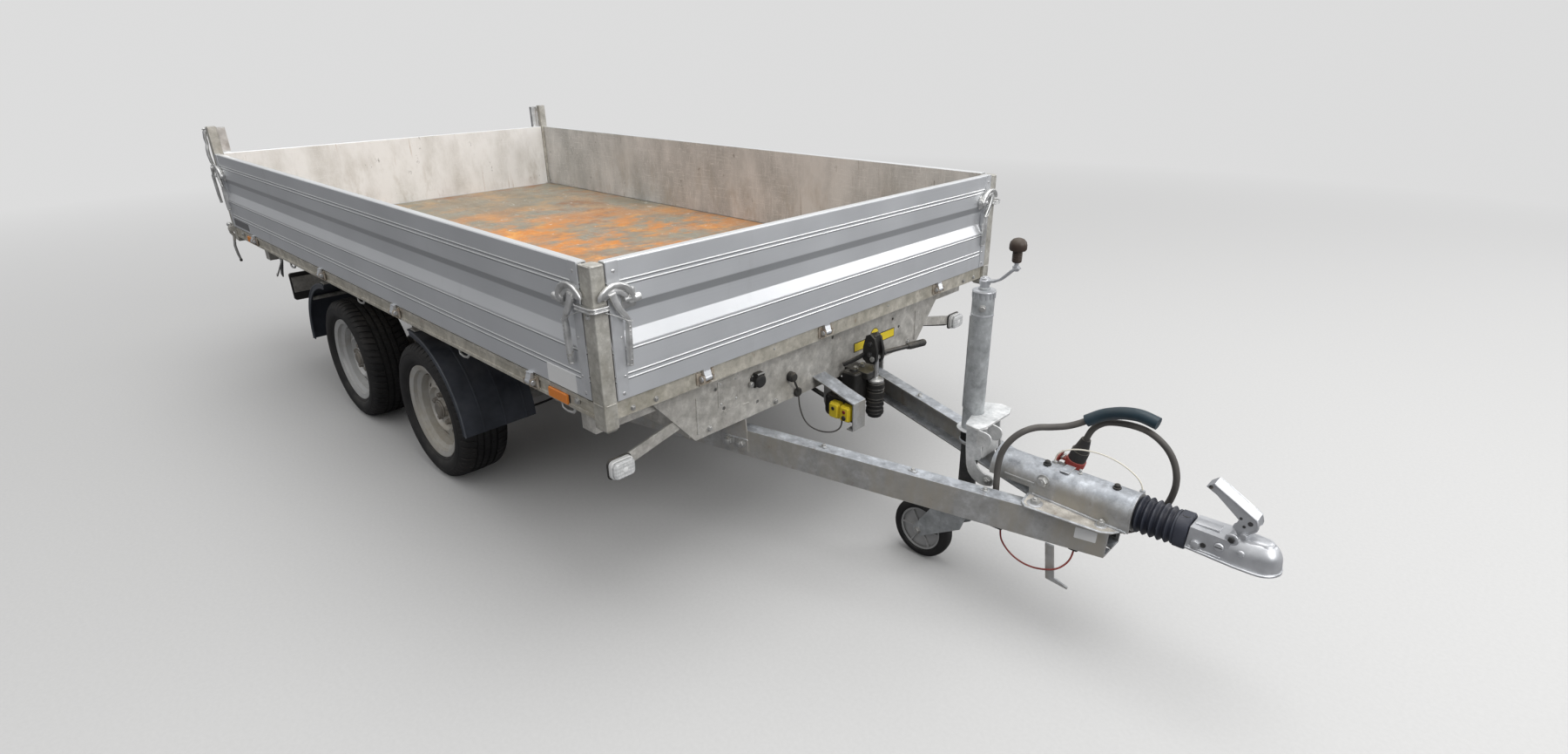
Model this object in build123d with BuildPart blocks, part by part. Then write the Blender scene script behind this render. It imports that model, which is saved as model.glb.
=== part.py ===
from build123d import *
import os
from math import atan, atan2, cos, degrees, hypot, radians, sin, tan

# Three-way tipper trailer with a V drawbar, two braked axles and aluminium boards.
# Millimetres. +X points to the coupling, +Y to the left, +Z up, and the ground is Z = 0.
# X = 0 lies half way along the trailer.

os.makedirs("parts", exist_ok=True)


def write(part, name):
    part.label = name
    export_step(part, f"parts/{name}.step")


# Load bed
overall_length = 4576
front_overhang = 1308
rear_reach = 43
bed_length = overall_length - front_overhang - rear_reach
bed_width = 1810
board_height = 350
board_thickness = 25
board_skin = 2.5
floor_top = 720
floor_sheet = 3
board_gap = 3
bed_front = overall_length / 2 - front_overhang
bed_rear = bed_front - bed_length
bed_middle = (bed_front + bed_rear) / 2
half_bed = bed_width / 2
board_foot = floor_top + board_gap

# Corner posts: a galvanised box section on a foot below the boards
post_side = 49
post_front = 39
rear_post_side = 35
post_wall = 4
post_foot = 645
front_post_top = 1067
rear_post_top = 1195
post_clearance = 2

# Bed frame under the floor
rail_height = 46
rail_width = 60
rail_inset = 3
rail_end_inset = 12
rail_top = floor_top - floor_sheet
rail_bottom = rail_top - rail_height
bed_beam_height = 61
bed_beam_width = 50
bed_beam_y = 400
cross_bar_width = 40
cross_bar_spacing = (bed_length - 25) / 8

# Board hinges: pins on the rails, straps on the boards
hinge_pin_r = 5
hinge_play = 0.3
hinge_knuckle_r = 8
hinge_strap_half = 12
hinge_lug = 6
hinge_pin_out = 12
hinge_z = 697
side_hinge_offsets = (-1260, -360, 360, 1260)
front_hinge_ys = (-574, -74, 559)

# Chassis
side_member_y = 575
side_member_top = 600
side_member_height = 120
side_member_flange = 50
side_member_wall = 5
chassis_front = bed_front - 94
chassis_rear = bed_rear + 105
front_plate_thickness = 4
front_plate_top = rail_bottom - 6
front_plate_low = 465
front_plate_low_half = 555
front_plate_top_half = 699
front_plate_step = 630

# Tipping pivot at the rear and the lifting cylinder
pivot_x = bed_rear + 115
pivot_z = 625
pivot_pin_r = 12
pivot_play = 0.3
pivot_y = 780
cylinder_x = bed_middle + 12.5
trunnion_z = 545
eye_z = 668
barrel_r = 62
stage_play = 0.3
barrel_low = 212
stage_travel = 382

# Wheels and axles
tyre_r = 267
tyre_width = 195
rim_r = 165
rim_flange_r = 182
wheel_y = 747.5
front_axle_x = -330
axle_spacing = 800
axle_drop = 43
axle_lead = 140
axle_tube = 80
stub_r = 20
stub_play = 0.3

# Drawbar arms
drawbar_slope = degrees(atan(0.046))
drawbar_spread = 0.29
drawbar_half_at_bed = 321
drawbar_top_at_bed = 417
arm_height = 90
arm_flange = 47
arm_wall = 5
arm_start = -850
arm_end = 935

# Overrun housing, bellows and coupling, all level on one axis
overrun_rear = 585
overrun_length = 394
overrun_r = 50
overrun_axis_z = 422
overrun_wall = 5
overrun_low_rear = 409
overrun_plates_rear = 707
flange_plate = 8
drawtube_r = 25
bellows_length = 128

# Parking jack
jack_x = bed_front + 490
jack_tube_r = 30
jack_wall = 4
jack_play = 0.4
jack_top = 906
jack_tube_low = 455
jack_wheel_r = 100
jack_wheel_width = 50
jack_trail = 140


def board_outline():
    # Outer face with its long recess and five shallow grooves, bottom edge at the origin
    t = board_thickness
    h = board_height
    recess = 12
    groove = 1.4
    Polygon(
        (0, 0),
        (t, 0),
        (t, h - 299),
        (t - groove, h - 297),
        (t, h - 295),
        (t, h - 286),
        (t - groove, h - 284),
        (t, h - 282),
        (t, h - 225),
        (t - groove, h - 223),
        (t, h - 221),
        (t, h - 216),
        (t - recess, h - 180),
        (t - recess, h - 134),
        (t, h - 110),
        (t, h - 62),
        (t - groove, h - 60),
        (t, h - 58),
        (t, h - 51),
        (t - groove, h - 49),
        (t, h - 47),
        (t, h - 3),
        (t - 3, h),
        (3, h),
        (0, h - 3),
        align=None,
    )


def board_hollow():
    # The chamber inside the double wall follows the recess
    t = board_thickness
    h = board_height
    s = board_skin
    recess = 12
    Polygon(
        (s, 4),
        (t - s - 1, 4),
        (t - s - 1, h - 217),
        (t - s - recess, h - 181),
        (t - s - recess, h - 133),
        (t - s - 1, h - 109),
        (t - s - 1, h - 5),
        (s, h - 5),
        align=None,
    )


def strap_profile(knuckle, bore, hook_in):
    # Hinge strap seen along the pin: origin on the pin axis, x outwards, y up
    foot = board_foot - hinge_z
    Polygon(
        (-hook_in, foot),
        (-hook_in, foot - 2.5),
        (-9, foot - 2.5),
        (-knuckle, 0),
        (knuckle, 0),
        (0, foot - 6),
        (0, foot),
        align=None,
    )
    Circle(knuckle)
    Circle(bore, mode=Mode.SUBTRACT)


# Three boards of the same hollow section: outward, up and run directions of each
side_length = bed_length - post_side - rear_post_side - 2 * post_clearance
side_front = bed_front - post_side - post_clearance
front_board_length = bed_width - 2 * post_front - 2 * post_clearance
side_inner = half_bed - board_thickness
side_pin_y = half_bed - rail_inset + hinge_pin_out
front_pin_x = bed_front - rail_end_inset + hinge_pin_out

with BuildPart() as side_board_right:
    with BuildSketch(Plane((side_front, -side_inner, board_foot), (0, -1, 0), (-1, 0, 0))):
        board_outline()
    extrude(amount=side_length)
    with BuildSketch(Plane((side_front, -side_inner, board_foot), (0, -1, 0), (-1, 0, 0))):
        board_hollow()
    extrude(amount=side_length, mode=Mode.SUBTRACT)
    for offset in side_hinge_offsets:
        start = cylinder_x + offset + hinge_strap_half
        with BuildSketch(Plane((start, -side_pin_y, hinge_z), (0, -1, 0), (-1, 0, 0))):
            strap_profile(hinge_knuckle_r, hinge_pin_r + hinge_play, 26)
        extrude(amount=2 * hinge_strap_half)

with BuildPart() as side_board_left:
    add(side_board_right.part.mirror(Plane.XZ))

with BuildPart() as front_board:
    start = (bed_front - board_thickness, front_board_length / 2, board_foot)
    with BuildSketch(Plane(start, (1, 0, 0), (0, -1, 0))):
        board_outline()
    extrude(amount=front_board_length)
    with BuildSketch(Plane(start, (1, 0, 0), (0, -1, 0))):
        board_hollow()
    extrude(amount=front_board_length, mode=Mode.SUBTRACT)
    for hinge_y in front_hinge_ys:
        with BuildSketch(Plane((front_pin_x, hinge_y + hinge_strap_half, hinge_z), (1, 0, 0), (0, -1, 0))):
            strap_profile(hinge_knuckle_r, hinge_pin_r + hinge_play, 20)
        extrude(amount=2 * hinge_strap_half)

write(side_board_right.part, "side_board_right")
write(side_board_left.part, "side_board_left")
write(front_board.part, "front_board")

# Tailgate between the rear posts with its two hanging uprights
tailgate_face = bed_rear + rear_post_side - post_clearance - 2
tailgate_length = bed_width - 2 * post_front - 2 * post_clearance
upright_width = 34
upright_depth = 22
upright_low = 735
upright_top = 1190
with BuildPart() as tailgate:
    start = (tailgate_face, -tailgate_length / 2, board_foot)
    with BuildSketch(Plane(start, (-1, 0, 0), (0, 1, 0))):
        board_outline()
    extrude(amount=tailgate_length)
    with BuildSketch(Plane(start, (-1, 0, 0), (0, 1, 0))):
        board_hollow()
    extrude(amount=tailgate_length, mode=Mode.SUBTRACT)
write(tailgate.part, "tailgate")

upright_back = tailgate_face - board_thickness
with BuildPart() as tailgate_uprights:
    for side in (-1, 1):
        upright_y = side * (tailgate_length / 2 - 4 - upright_width / 2)
        with BuildSketch(Plane.XY.offset(upright_low)):
            with Locations((upright_back - upright_depth / 2, upright_y)):
                Rectangle(upright_depth, upright_width)
        extrude(amount=upright_top - upright_low)
        with BuildSketch(Plane.XY.offset(upright_low - 2)):
            with Locations((upright_back - upright_depth / 2, upright_y)):
                Rectangle(upright_depth - 6, upright_width - 6)
        extrude(amount=upright_top - upright_low - 1, mode=Mode.SUBTRACT)
        pin_start = upright_y + side * (upright_width / 2 - 1)
        with BuildSketch(Plane((upright_back - 12, pin_start, upright_top - 20), (1, 0, 0), (0, side, 0))):
            Circle(7)
        extrude(amount=7)
write(tailgate_uprights.part, "tailgate_uprights")

# Bed frame: a ring of rails, cross bars, two long beams, and the cylinder's ears, welded in one
frame_front = bed_front - rail_end_inset
frame_rear = bed_rear + 10
frame_half = half_bed - rail_inset
cylinder_ear_gap = 36
ear_thickness = 10
with BuildPart() as bed_frame:
    with BuildSketch(Plane.XY.offset(rail_bottom)):
        with Locations(((frame_front + frame_rear) / 2, 0)):
            Rectangle(frame_front - frame_rear, 2 * frame_half)
            Rectangle(frame_front - frame_rear - 2 * rail_width, 2 * (frame_half - rail_width), mode=Mode.SUBTRACT)
        for offset in range(-3, 5):
            with Locations((cylinder_x + (offset - 0.5) * cross_bar_spacing, 0)):
                Rectangle(cross_bar_width, 2 * (frame_half - rail_width) + 2)
        for side in (-1, 1):
            with Locations((bed_front - post_side / 2, side * half_bed)):
                Rectangle(post_side, 2 * post_front, mode=Mode.SUBTRACT)
            with Locations((bed_rear + rear_post_side / 2, side * half_bed)):
                Rectangle(rear_post_side, 2 * post_front, mode=Mode.SUBTRACT)
    extrude(amount=rail_height)
    # Groove along the outside of each rail, as a rolled section has
    with BuildSketch(Plane.XY.offset(rail_bottom + 10)):
        for side in (-1, 1):
            with Locations((bed_middle, side * frame_half)):
                Rectangle(bed_length, 6, mode=Mode.ADD)
    extrude(amount=rail_height - 22, mode=Mode.SUBTRACT)
    # Long beams that rest on the chassis
    beam_start = bed_rear + 110
    beam_end = bed_front - 190
    with BuildSketch(Plane.XY.offset(rail_bottom - bed_beam_height)):
        for side in (-1, 1):
            with Locations(((beam_start + beam_end) / 2, side * bed_beam_y)):
                Rectangle(beam_end - beam_start, bed_beam_width)
    extrude(amount=bed_beam_height)
    with BuildSketch(Plane.XY.offset(rail_bottom - bed_beam_height + 5)):
        for side in (-1, 1):
            with Locations(((beam_start + beam_end) / 2, side * (bed_beam_y - 6))):
                Rectangle(beam_end - beam_start + 2, bed_beam_width - 6)
    extrude(amount=bed_beam_height - 10, mode=Mode.SUBTRACT)
    # Cylinder ears hang from two short channels between the middle cross bars
    with BuildSketch(Plane.XY.offset(rail_bottom)):
        for side in (-1, 1):
            with Locations((cylinder_x, side * (cylinder_ear_gap + ear_thickness + 18))):
                Rectangle(cross_bar_spacing - cross_bar_width + 2, 36)
    extrude(amount=rail_height)
    for side in (-1, 1):
        ear_start = side * cylinder_ear_gap
        with BuildSketch(Plane((cylinder_x, ear_start, eye_z), (1, 0, 0), (0, side, 0))):
            Circle(28)
            with Locations((0, -side * 22)):
                Rectangle(56, 44)
            Circle(15, mode=Mode.SUBTRACT)
        extrude(amount=ear_thickness)
    # Rear pivot knuckles
    for side in (-1, 1):
        knuckle_start = side * (pivot_y - 10)
        with BuildSketch(Plane((pivot_x, knuckle_start, pivot_z), (1, 0, 0), (0, side, 0))):
            Circle(20)
            with Locations((0, -side * 24)):
                Rectangle(40, 48)
            Circle(pivot_pin_r + pivot_play, mode=Mode.SUBTRACT)
        extrude(amount=20)
write(bed_frame.part, "bed_frame")

with BuildPart() as floor_plate:
    with BuildSketch(Plane.XY.offset(rail_top)):
        with Locations(((bed_front - post_side - 4 + bed_rear + rear_post_side + 2) / 2, 0)):
            Rectangle(side_length + 2 * post_clearance - 6, 2 * (side_inner - 1))
        with Locations(((bed_front - board_thickness - 1 + tailgate_face + 1) / 2, 0)):
            Rectangle(bed_front - board_thickness - tailgate_face - 2, 2 * (half_bed - post_front - 4))
    extrude(amount=floor_sheet)
write(floor_plate.part, "floor_plate")

# Corner posts, hollow, with a chamfered foot that closes the corner of the frame
with BuildPart() as corner_posts:
    posts = (
        # middle_x, length_x, top_z
        (bed_front - post_side / 2, post_side, front_post_top),
        (bed_rear + rear_post_side / 2, rear_post_side, rear_post_top),
    )
    for middle_x, length_x, top_z in posts:
        for side in (-1, 1):
            middle_y = side * (half_bed - post_front / 2)
            with BuildSketch(Plane.XY.offset(post_foot + 8)):
                with Locations((middle_x, middle_y)):
                    RectangleRounded(length_x, post_front, 3)
            extrude(amount=top_z - post_foot - 8)
            with BuildSketch(Plane.XY.offset(post_foot + 8)):
                with Locations((middle_x, middle_y)):
                    Rectangle(length_x - 2, post_front - 2)
            extrude(amount=-8, taper=35)
            with BuildSketch(Plane.XY.offset(rail_top)):
                with Locations((middle_x, middle_y)):
                    Rectangle(length_x - 2 * post_wall, post_front - 2 * post_wall)
            extrude(amount=top_z - rail_top - post_wall, mode=Mode.SUBTRACT)
write(corner_posts.part, "corner_posts")

# Hinge brackets with their pins on the rails
bracket_plate = 3
lug_half = hinge_strap_half + 2
with BuildPart() as hinge_brackets:
    places = [(cylinder_x + offset, -frame_half, (0, -1, 0)) for offset in side_hinge_offsets]
    places += [(cylinder_x + offset, frame_half, (0, 1, 0)) for offset in side_hinge_offsets]
    places += [(frame_front, hinge_y, (1, 0, 0)) for hinge_y in front_hinge_ys]
    for place_x, place_y, outward in places:
        face = Plane((place_x, place_y, hinge_z), (-outward[1], outward[0], 0), outward)
        with BuildSketch(face):
            Rectangle(2 * (lug_half + hinge_lug) + 10, 30)
        extrude(amount=bracket_plate)
        for end in (-1, 1):
            with BuildSketch(face):
                with Locations((end * (lug_half + hinge_lug / 2), 0)):
                    Rectangle(hinge_lug, 18)
            extrude(amount=hinge_pin_out + 8)
        pin_line = face.offset(hinge_pin_out)
        run = Plane(pin_line.origin - pin_line.x_dir * (lug_half + hinge_lug), outward, pin_line.x_dir)
        with BuildSketch(run):
            Circle(hinge_pin_r)
        extrude(amount=2 * (lug_half + hinge_lug))
write(hinge_brackets.part, "hinge_brackets")


def lever_profile():
    # Forged lever seen from outside: pivot at the origin, hook towards +x, handle down
    Polygon(
        (-11, -6),
        (-9, -60),
        (-5, -120),
        (-2, -170),
        (12, -170),
        (10, -120),
        (11, -60),
        (13, -8),
        (22, 14),
        (36, 30),
        (52, 32),
        (66, 24),
        (76, 6),
        (92, 6),
        (88, 24),
        (76, 38),
        (56, 46),
        (34, 44),
        (14, 30),
        (-2, 14),
        align=None,
    )
    Circle(13)


latch_z = 977
latch_ring_z = 963
latch_gap = 73
latch_stand = 4
latch_depth = 10


def lever(plane):
    # The pivot boss stands on the board and carries the lever clear of its face
    with BuildSketch(plane) as boss:
        Circle(9)
    extrude(boss.sketch, amount=latch_stand + latch_depth + 8)
    with BuildSketch(plane.offset(latch_stand)) as hook:
        lever_profile()
    extrude(hook.sketch, amount=latch_depth)


with BuildPart() as right_latches:
    lever(Plane((bed_front - post_side - latch_gap, -half_bed, latch_z), (1, 0, 0), (0, -1, 0)))
with BuildPart() as right_rear_latch:
    lever(Plane((bed_rear + rear_post_side + latch_gap, half_bed, latch_z), (-1, 0, 0), (0, 1, 0)))
with BuildPart() as board_latches_right:
    add(right_latches.part)
    add(right_rear_latch.part.mirror(Plane.XZ))
with BuildPart() as board_latches_left:
    add(board_latches_right.part.mirror(Plane.XZ))
with BuildPart() as front_left_latch:
    lever(Plane((bed_front, half_bed - 97, latch_z), (0, 1, 0), (1, 0, 0)))
with BuildPart() as board_latches_front:
    add(front_left_latch.part)
    add(front_left_latch.part.mirror(Plane.XZ))
write(board_latches_right.part, "board_latches_right")
write(board_latches_left.part, "board_latches_left")
write(board_latches_front.part, "board_latches_front")

# Catch rings round the posts, and the tailgate's own levers at the rear
ring_height = 10
ring_out = 20
lower_lever_z = 705
middle_lever_z = 997
with BuildPart() as post_fittings:
    for side in (-1, 1):
        with BuildSketch(Plane.XY.offset(latch_ring_z)):
            with Locations((bed_front - post_side / 2 + ring_out / 2, side * (half_bed + ring_out / 2))):
                Rectangle(post_side + ring_out, ring_out)
            with Locations((bed_front + ring_out / 2, side * (half_bed - post_front / 2 + ring_out / 2))):
                Rectangle(ring_out, post_front + ring_out)
            with Locations((bed_rear + rear_post_side / 2, side * (half_bed + ring_out / 2))):
                Rectangle(rear_post_side, ring_out)
        extrude(amount=ring_height)
    fitting_reach = rear_reach
    lever_y = half_bed - post_front / 2
    for side in (-1, 1):
        # Upper tailgate lever on the post top, its handle beside the post
        with BuildSketch(Plane((bed_rear, side * lever_y, rear_post_top - 25), (0, 1, 0), (-1, 0, 0))):
            Circle(11)
        extrude(amount=24)
        with BuildSketch(Plane((bed_rear - 12, side * lever_y, rear_post_top - 25), (0, 1, 0), (-1, 0, 0))):
            Circle(14)
            with Locations((side * 17, 0)):
                Rectangle(36, 18)
            with Locations((side * 27, 76)):
                Rectangle(12, 160)
            with Locations((0, -14)):
                Rectangle(18, 28)
        extrude(amount=10)
        # Middle lever behind the post
        with BuildSketch(Plane((bed_rear, side * (half_bed - 1), middle_lever_z), (0, 1, 0), (-1, 0, 0))):
            Rectangle(44, 24)
        extrude(amount=30)
        with BuildSketch(Plane((bed_rear - 28, side * (half_bed + 11), middle_lever_z), (0, 1, 0), (-1, 0, 0))):
            Circle(11)
            with Locations((0, 84)):
                Rectangle(12, 168)
        extrude(amount=11)
        # Lower tailgate lever with its long handle
        with BuildSketch(Plane((bed_rear, side * (half_bed + 3), lower_lever_z), (0, 1, 0), (-1, 0, 0))):
            Circle(13)
        extrude(amount=fitting_reach)
        lower = Plane((bed_rear - 20, side * (half_bed + 3), lower_lever_z), (0, 1, 0), (-1, 0, 0))
        with BuildSketch(lower):
            Circle(17)
            with Locations((0, 84)):
                Rectangle(13, 168)
            with Locations((0, -18)):
                Rectangle(22, 30)
        extrude(amount=11)
write(post_fittings.part, "post_fittings")

# Orange side markers on the rails
marker_length = 90
marker_x = bed_front - 212
with BuildPart() as side_markers:
    for side in (-1, 1):
        face_y = side * (frame_half - 3)
        for place_x in (marker_x, bed_rear + 285):
            with BuildSketch(Plane((place_x, face_y, rail_bottom + rail_height / 2 - 1), (1, 0, 0), (0, side, 0))):
                RectangleRounded(marker_length, 22, 4)
            extrude(amount=8)
write(side_markers.part, "side_markers")

# Chassis side members: channels open to the middle
with BuildPart() as side_members:
    member_low = side_member_top - side_member_height
    with BuildSketch(Plane((chassis_rear, 0, 0), (0, 1, 0), (1, 0, 0))):
        for side in (-1, 1):
            with Locations((side * (side_member_y - side_member_flange / 2), side_member_top - side_member_height / 2)):
                Rectangle(side_member_flange, side_member_height)
            with Locations((side * (side_member_y - side_member_flange / 2 - side_member_wall), side_member_top - side_member_height / 2)):
                Rectangle(side_member_flange, side_member_height - 2 * side_member_wall, mode=Mode.SUBTRACT)
    extrude(amount=chassis_front - chassis_rear)
write(side_members.part, "side_members")

# Cross members, outriggers and mudguard stays
guard_r = 333
guard_wall = 4
guard_inner_y = 582
guard_outer_y = 852
rear_guard_back = 70
member_inner = side_member_y - side_member_wall
wheel_xs = (front_axle_x, front_axle_x - axle_spacing)
cradle_half = 100
outrigger_x = bed_front - 135
outrigger_half = 872
rear_member_half = 806
with BuildPart() as cross_members:
    # Tubes between the side members: middle x, width, height
    tubes = (
        (cylinder_x - cradle_half - 25, 50, 80),
        (cylinder_x + cradle_half + 25, 50, 80),
        (bed_front - 760, 60, 80),
        (bed_rear + 560, 60, 80),
    )
    for middle_x, width, height in tubes:
        with BuildSketch(Plane.XY.offset(side_member_top - 20 - height)):
            with Locations((middle_x, 0)):
                Rectangle(width, 2 * member_inner)
        extrude(amount=height)
    # Cradle rails with the bores for the cylinder's trunnions
    for side in (-1, 1):
        with BuildSketch(Plane((cylinder_x, side * 90, trunnion_z), (1, 0, 0), (0, side, 0))):
            Rectangle(2 * cradle_half, 60)
            Circle(18.3, mode=Mode.SUBTRACT)
        extrude(amount=20)
    # Front outrigger on top of the side members, with rest pads under the bed
    with BuildSketch(Plane.XY.offset(side_member_top)):
        with Locations((outrigger_x, 0)):
            Rectangle(60, 2 * outrigger_half)
    extrude(amount=50)
    with BuildSketch(Plane.XY.offset(side_member_top + 50)):
        for side in (-1, 1):
            with Locations((outrigger_x, side * (outrigger_half - 25))):
                Rectangle(46, 46)
    extrude(amount=rail_bottom - side_member_top - 50 - 0.4)
    # Rear cross member that carries the pivot ears
    with BuildSketch(Plane.XY.offset(side_member_top - 60)):
        with Locations((chassis_rear - 30, 0)):
            Rectangle(60, 2 * rear_member_half)
    extrude(amount=60)
    for side in (-1, 1):
        for start in (pivot_y - 24, pivot_y + 12):
            ear_plane = Plane((pivot_x, side * start, pivot_z), (1, 0, 0), (0, side, 0))
            with BuildSketch(ear_plane):
                Circle(19)
                with Locations((0, side * 15)):
                    Rectangle(38, 30)
            extrude(amount=12)
        with BuildSketch(Plane((pivot_x, side * (pivot_y - 24), pivot_z), (1, 0, 0), (0, side, 0))):
            Circle(pivot_pin_r)
        extrude(amount=48)

# Mudguard stays: a flat bar over each guard and a round tube under it
with BuildPart() as guard_stays:
    stay_r = 9
    tube_reach = guard_r - guard_wall - stay_r - 0.2
    for axle, sign in ((wheel_xs[0], 1), (wheel_xs[1] - rear_guard_back, -1)):
        for side in (-1, 1):
            middle_y = side * (side_member_y - 25 + guard_outer_y - 6) / 2
            with BuildSketch(Plane.XY.offset(side_member_top)):
                with Locations((axle + sign * 22, middle_y)):
                    Rectangle(40, guard_outer_y - 6 - side_member_y + 25)
            extrude(amount=6)
            tube_x = axle + sign * tube_reach * cos(radians(45))
            tube_z = tyre_r + tube_reach * sin(radians(45))
            with BuildSketch(Plane((tube_x, side * side_member_y, tube_z), (1, 0, 0), (0, side, 0))):
                Circle(stay_r)
            extrude(amount=guard_outer_y - 8 - side_member_y)
write(Compound(cross_members.part.solids() + guard_stays.part.solids()), "cross_members")

# Mudguards: curved sheets with a flap and a turned lip on the outer side
with BuildPart() as mudguards:
    for axle, sign in ((wheel_xs[0], 1), (wheel_xs[1] - rear_guard_back, -1)):
        for side in (-1, 1):
            inner_plane = Plane((axle, side * guard_inner_y, tyre_r), (1, 0, 0), (0, side, 0))
            up = -side
            with BuildSketch(inner_plane):
                with BuildLine():
                    top_out = (-sign * 12, up * guard_r)
                    top_in = (-sign * 12, up * (guard_r - guard_wall))
                    low = radians(2)
                    low_out = (sign * guard_r * cos(low), up * guard_r * sin(low))
                    low_in = (sign * (guard_r - guard_wall) * cos(low), up * (guard_r - guard_wall) * sin(low))
                    middle = radians(45)
                    bend_out = (sign * guard_r * cos(middle), up * guard_r * sin(middle))
                    bend_in = (sign * (guard_r - guard_wall) * cos(middle), up * (guard_r - guard_wall) * sin(middle))
                    Line(top_in, (0, up * (guard_r - guard_wall)))
                    ThreePointArc((0, up * (guard_r - guard_wall)), bend_in, low_in)
                    Line(low_in, low_out)
                    ThreePointArc(low_out, bend_out, (0, up * guard_r))
                    Line((0, up * guard_r), top_out)
                    Line(top_out, top_in)
                make_face()
            extrude(amount=guard_outer_y - guard_inner_y)
            lip_plane = Plane((axle, side * (guard_outer_y - 4), tyre_r), (1, 0, 0), (0, side, 0))
            with BuildSketch(lip_plane):
                with BuildLine():
                    lip_r = guard_r - 22
                    Line((0, up * lip_r), (0, up * guard_r))
                    ThreePointArc((0, up * guard_r), bend_out, low_out)
                    lip_low = (sign * lip_r * cos(low), up * lip_r * sin(low))
                    lip_bend = (sign * lip_r * cos(middle), up * lip_r * sin(middle))
                    Line(low_out, lip_low)
                    ThreePointArc(lip_low, lip_bend, (0, up * lip_r))
                make_face()
            extrude(amount=4)
write(mudguards.part, "mudguards")

# Front plate: a folded trapezium with holes
with BuildPart() as front_plate:
    with BuildSketch(Plane((chassis_front, 0, 0), (0, 1, 0), (1, 0, 0))):
        with BuildLine():
            Polyline(
                (-front_plate_top_half, front_plate_top),
                (-front_plate_top_half, front_plate_step),
                (-front_plate_low_half, front_plate_low),
                (front_plate_low_half, front_plate_low),
                (front_plate_top_half, front_plate_step),
                (front_plate_top_half, front_plate_top),
                close=True,
            )
        make_face()
        with Locations((-470, 600), (-430, 570), (-440, 530), (-300, 505), (440, 560), (400, 600), (60, 620)):
            Circle(6, mode=Mode.SUBTRACT)
    extrude(amount=front_plate_thickness)
    with BuildSketch(Plane.XY.offset(front_plate_top - 4)):
        with Locations((chassis_front - 14, 0)):
            Rectangle(32, 2 * front_plate_top_half)
    extrude(amount=4)
    with BuildSketch(Plane.XY.offset(front_plate_low)):
        with Locations((chassis_front - 14, 0)):
            Rectangle(32, 2 * front_plate_low_half - 120)
    extrude(amount=4)
write(front_plate.part, "front_plate")

# Drawbar arms: channels open to the middle, running under the side members
slope = radians(drawbar_slope)
arm_plane = Plane((bed_front, 0, drawbar_top_at_bed), (cos(slope), 0, -sin(slope)), (sin(slope), 0, cos(slope)))


def arm_half(x):
    return drawbar_half_at_bed - drawbar_spread * x


def arm_strip(side, width):
    Polygon(
        (arm_start, side * arm_half(arm_start)),
        (arm_end, side * arm_half(arm_end)),
        (arm_end, side * (arm_half(arm_end) - width)),
        (arm_start, side * (arm_half(arm_start) - width)),
        align=None,
    )


with BuildPart() as drawbar_arms:
    for side in (-1, 1):
        for level in (-arm_wall, -arm_height):
            with BuildSketch(arm_plane.offset(level)):
                arm_strip(side, arm_flange)
            extrude(amount=arm_wall)
        with BuildSketch(arm_plane.offset(-arm_height)):
            arm_strip(side, arm_wall)
        extrude(amount=arm_height)
write(drawbar_arms.part, "drawbar_arms")

# Brackets that bolt the arms to the front plate and to the side members
front_bracket_x = -130
saddle_x = -800
with BuildPart() as drawbar_brackets:
    for side in (-1, 1):
        turn = atan(drawbar_spread)
        web_point = arm_plane.from_local_coords((front_bracket_x, side * (arm_half(front_bracket_x) + 0.2), 0))
        along = arm_plane.x_dir * cos(turn) - arm_plane.y_dir * side * sin(turn)
        outward = arm_plane.x_dir * sin(turn) + arm_plane.y_dir * side * cos(turn)
        up = -side
        with BuildSketch(Plane(web_point, along, outward)):
            with BuildLine():
                Polyline(
                    (-45, -up * 72),
                    (48, -up * 72),
                    (38, up * 41),
                    (-45, up * 41),
                    close=True,
                )
            make_face()
            with Locations((-18, -up * 42), (22, -up * 42)):
                Circle(6.5, mode=Mode.SUBTRACT)
        extrude(amount=6)
        with BuildSketch(Plane((0, side * (side_member_y - 30) + 20, 0), (1, 0, 0), (0, -1, 0))):
            saddle_rear = bed_front + saddle_x - 45
            saddle_front = bed_front + saddle_x + 45
            member_low = side_member_top - side_member_height
            Polygon(
                (saddle_rear, drawbar_top_at_bed - (saddle_rear - bed_front) * tan(slope) + 0.1),
                (saddle_front, drawbar_top_at_bed - (saddle_front - bed_front) * tan(slope) + 0.1),
                (saddle_front, member_low),
                (saddle_rear, member_low),
                align=None,
            )
        extrude(amount=40)
    # Flat bar with a bent foot under the right arm
    hanger_x = bed_front + 802
    hanger_y = -92
    hanger_top = drawbar_top_at_bed - (hanger_x - bed_front) * tan(slope) - arm_height - 0.5
    with BuildSketch(Plane((0, hanger_y + 2.5, 0), (1, 0, 0), (0, -1, 0))):
        Polygon(
            (hanger_x - 12, hanger_top),
            (hanger_x + 12, hanger_top - 1.1),
            (hanger_x + 26, 184),
            (hanger_x + 2, 182),
            align=None,
        )
        Polygon(
            (hanger_x + 3, 182),
            (hanger_x + 64, 176),
            (hanger_x + 64, 182),
            (hanger_x + 20, 194),
            align=None,
        )
    extrude(amount=5)
write(drawbar_brackets.part, "drawbar_brackets")

# Overrun housing: a pressed arch over the drawtube, welded on flange plates
housing_start = bed_front + overrun_rear
housing_end = housing_start + overrun_length


def arm_top(x):
    return drawbar_top_at_bed - (x - bed_front) * tan(slope)


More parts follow.
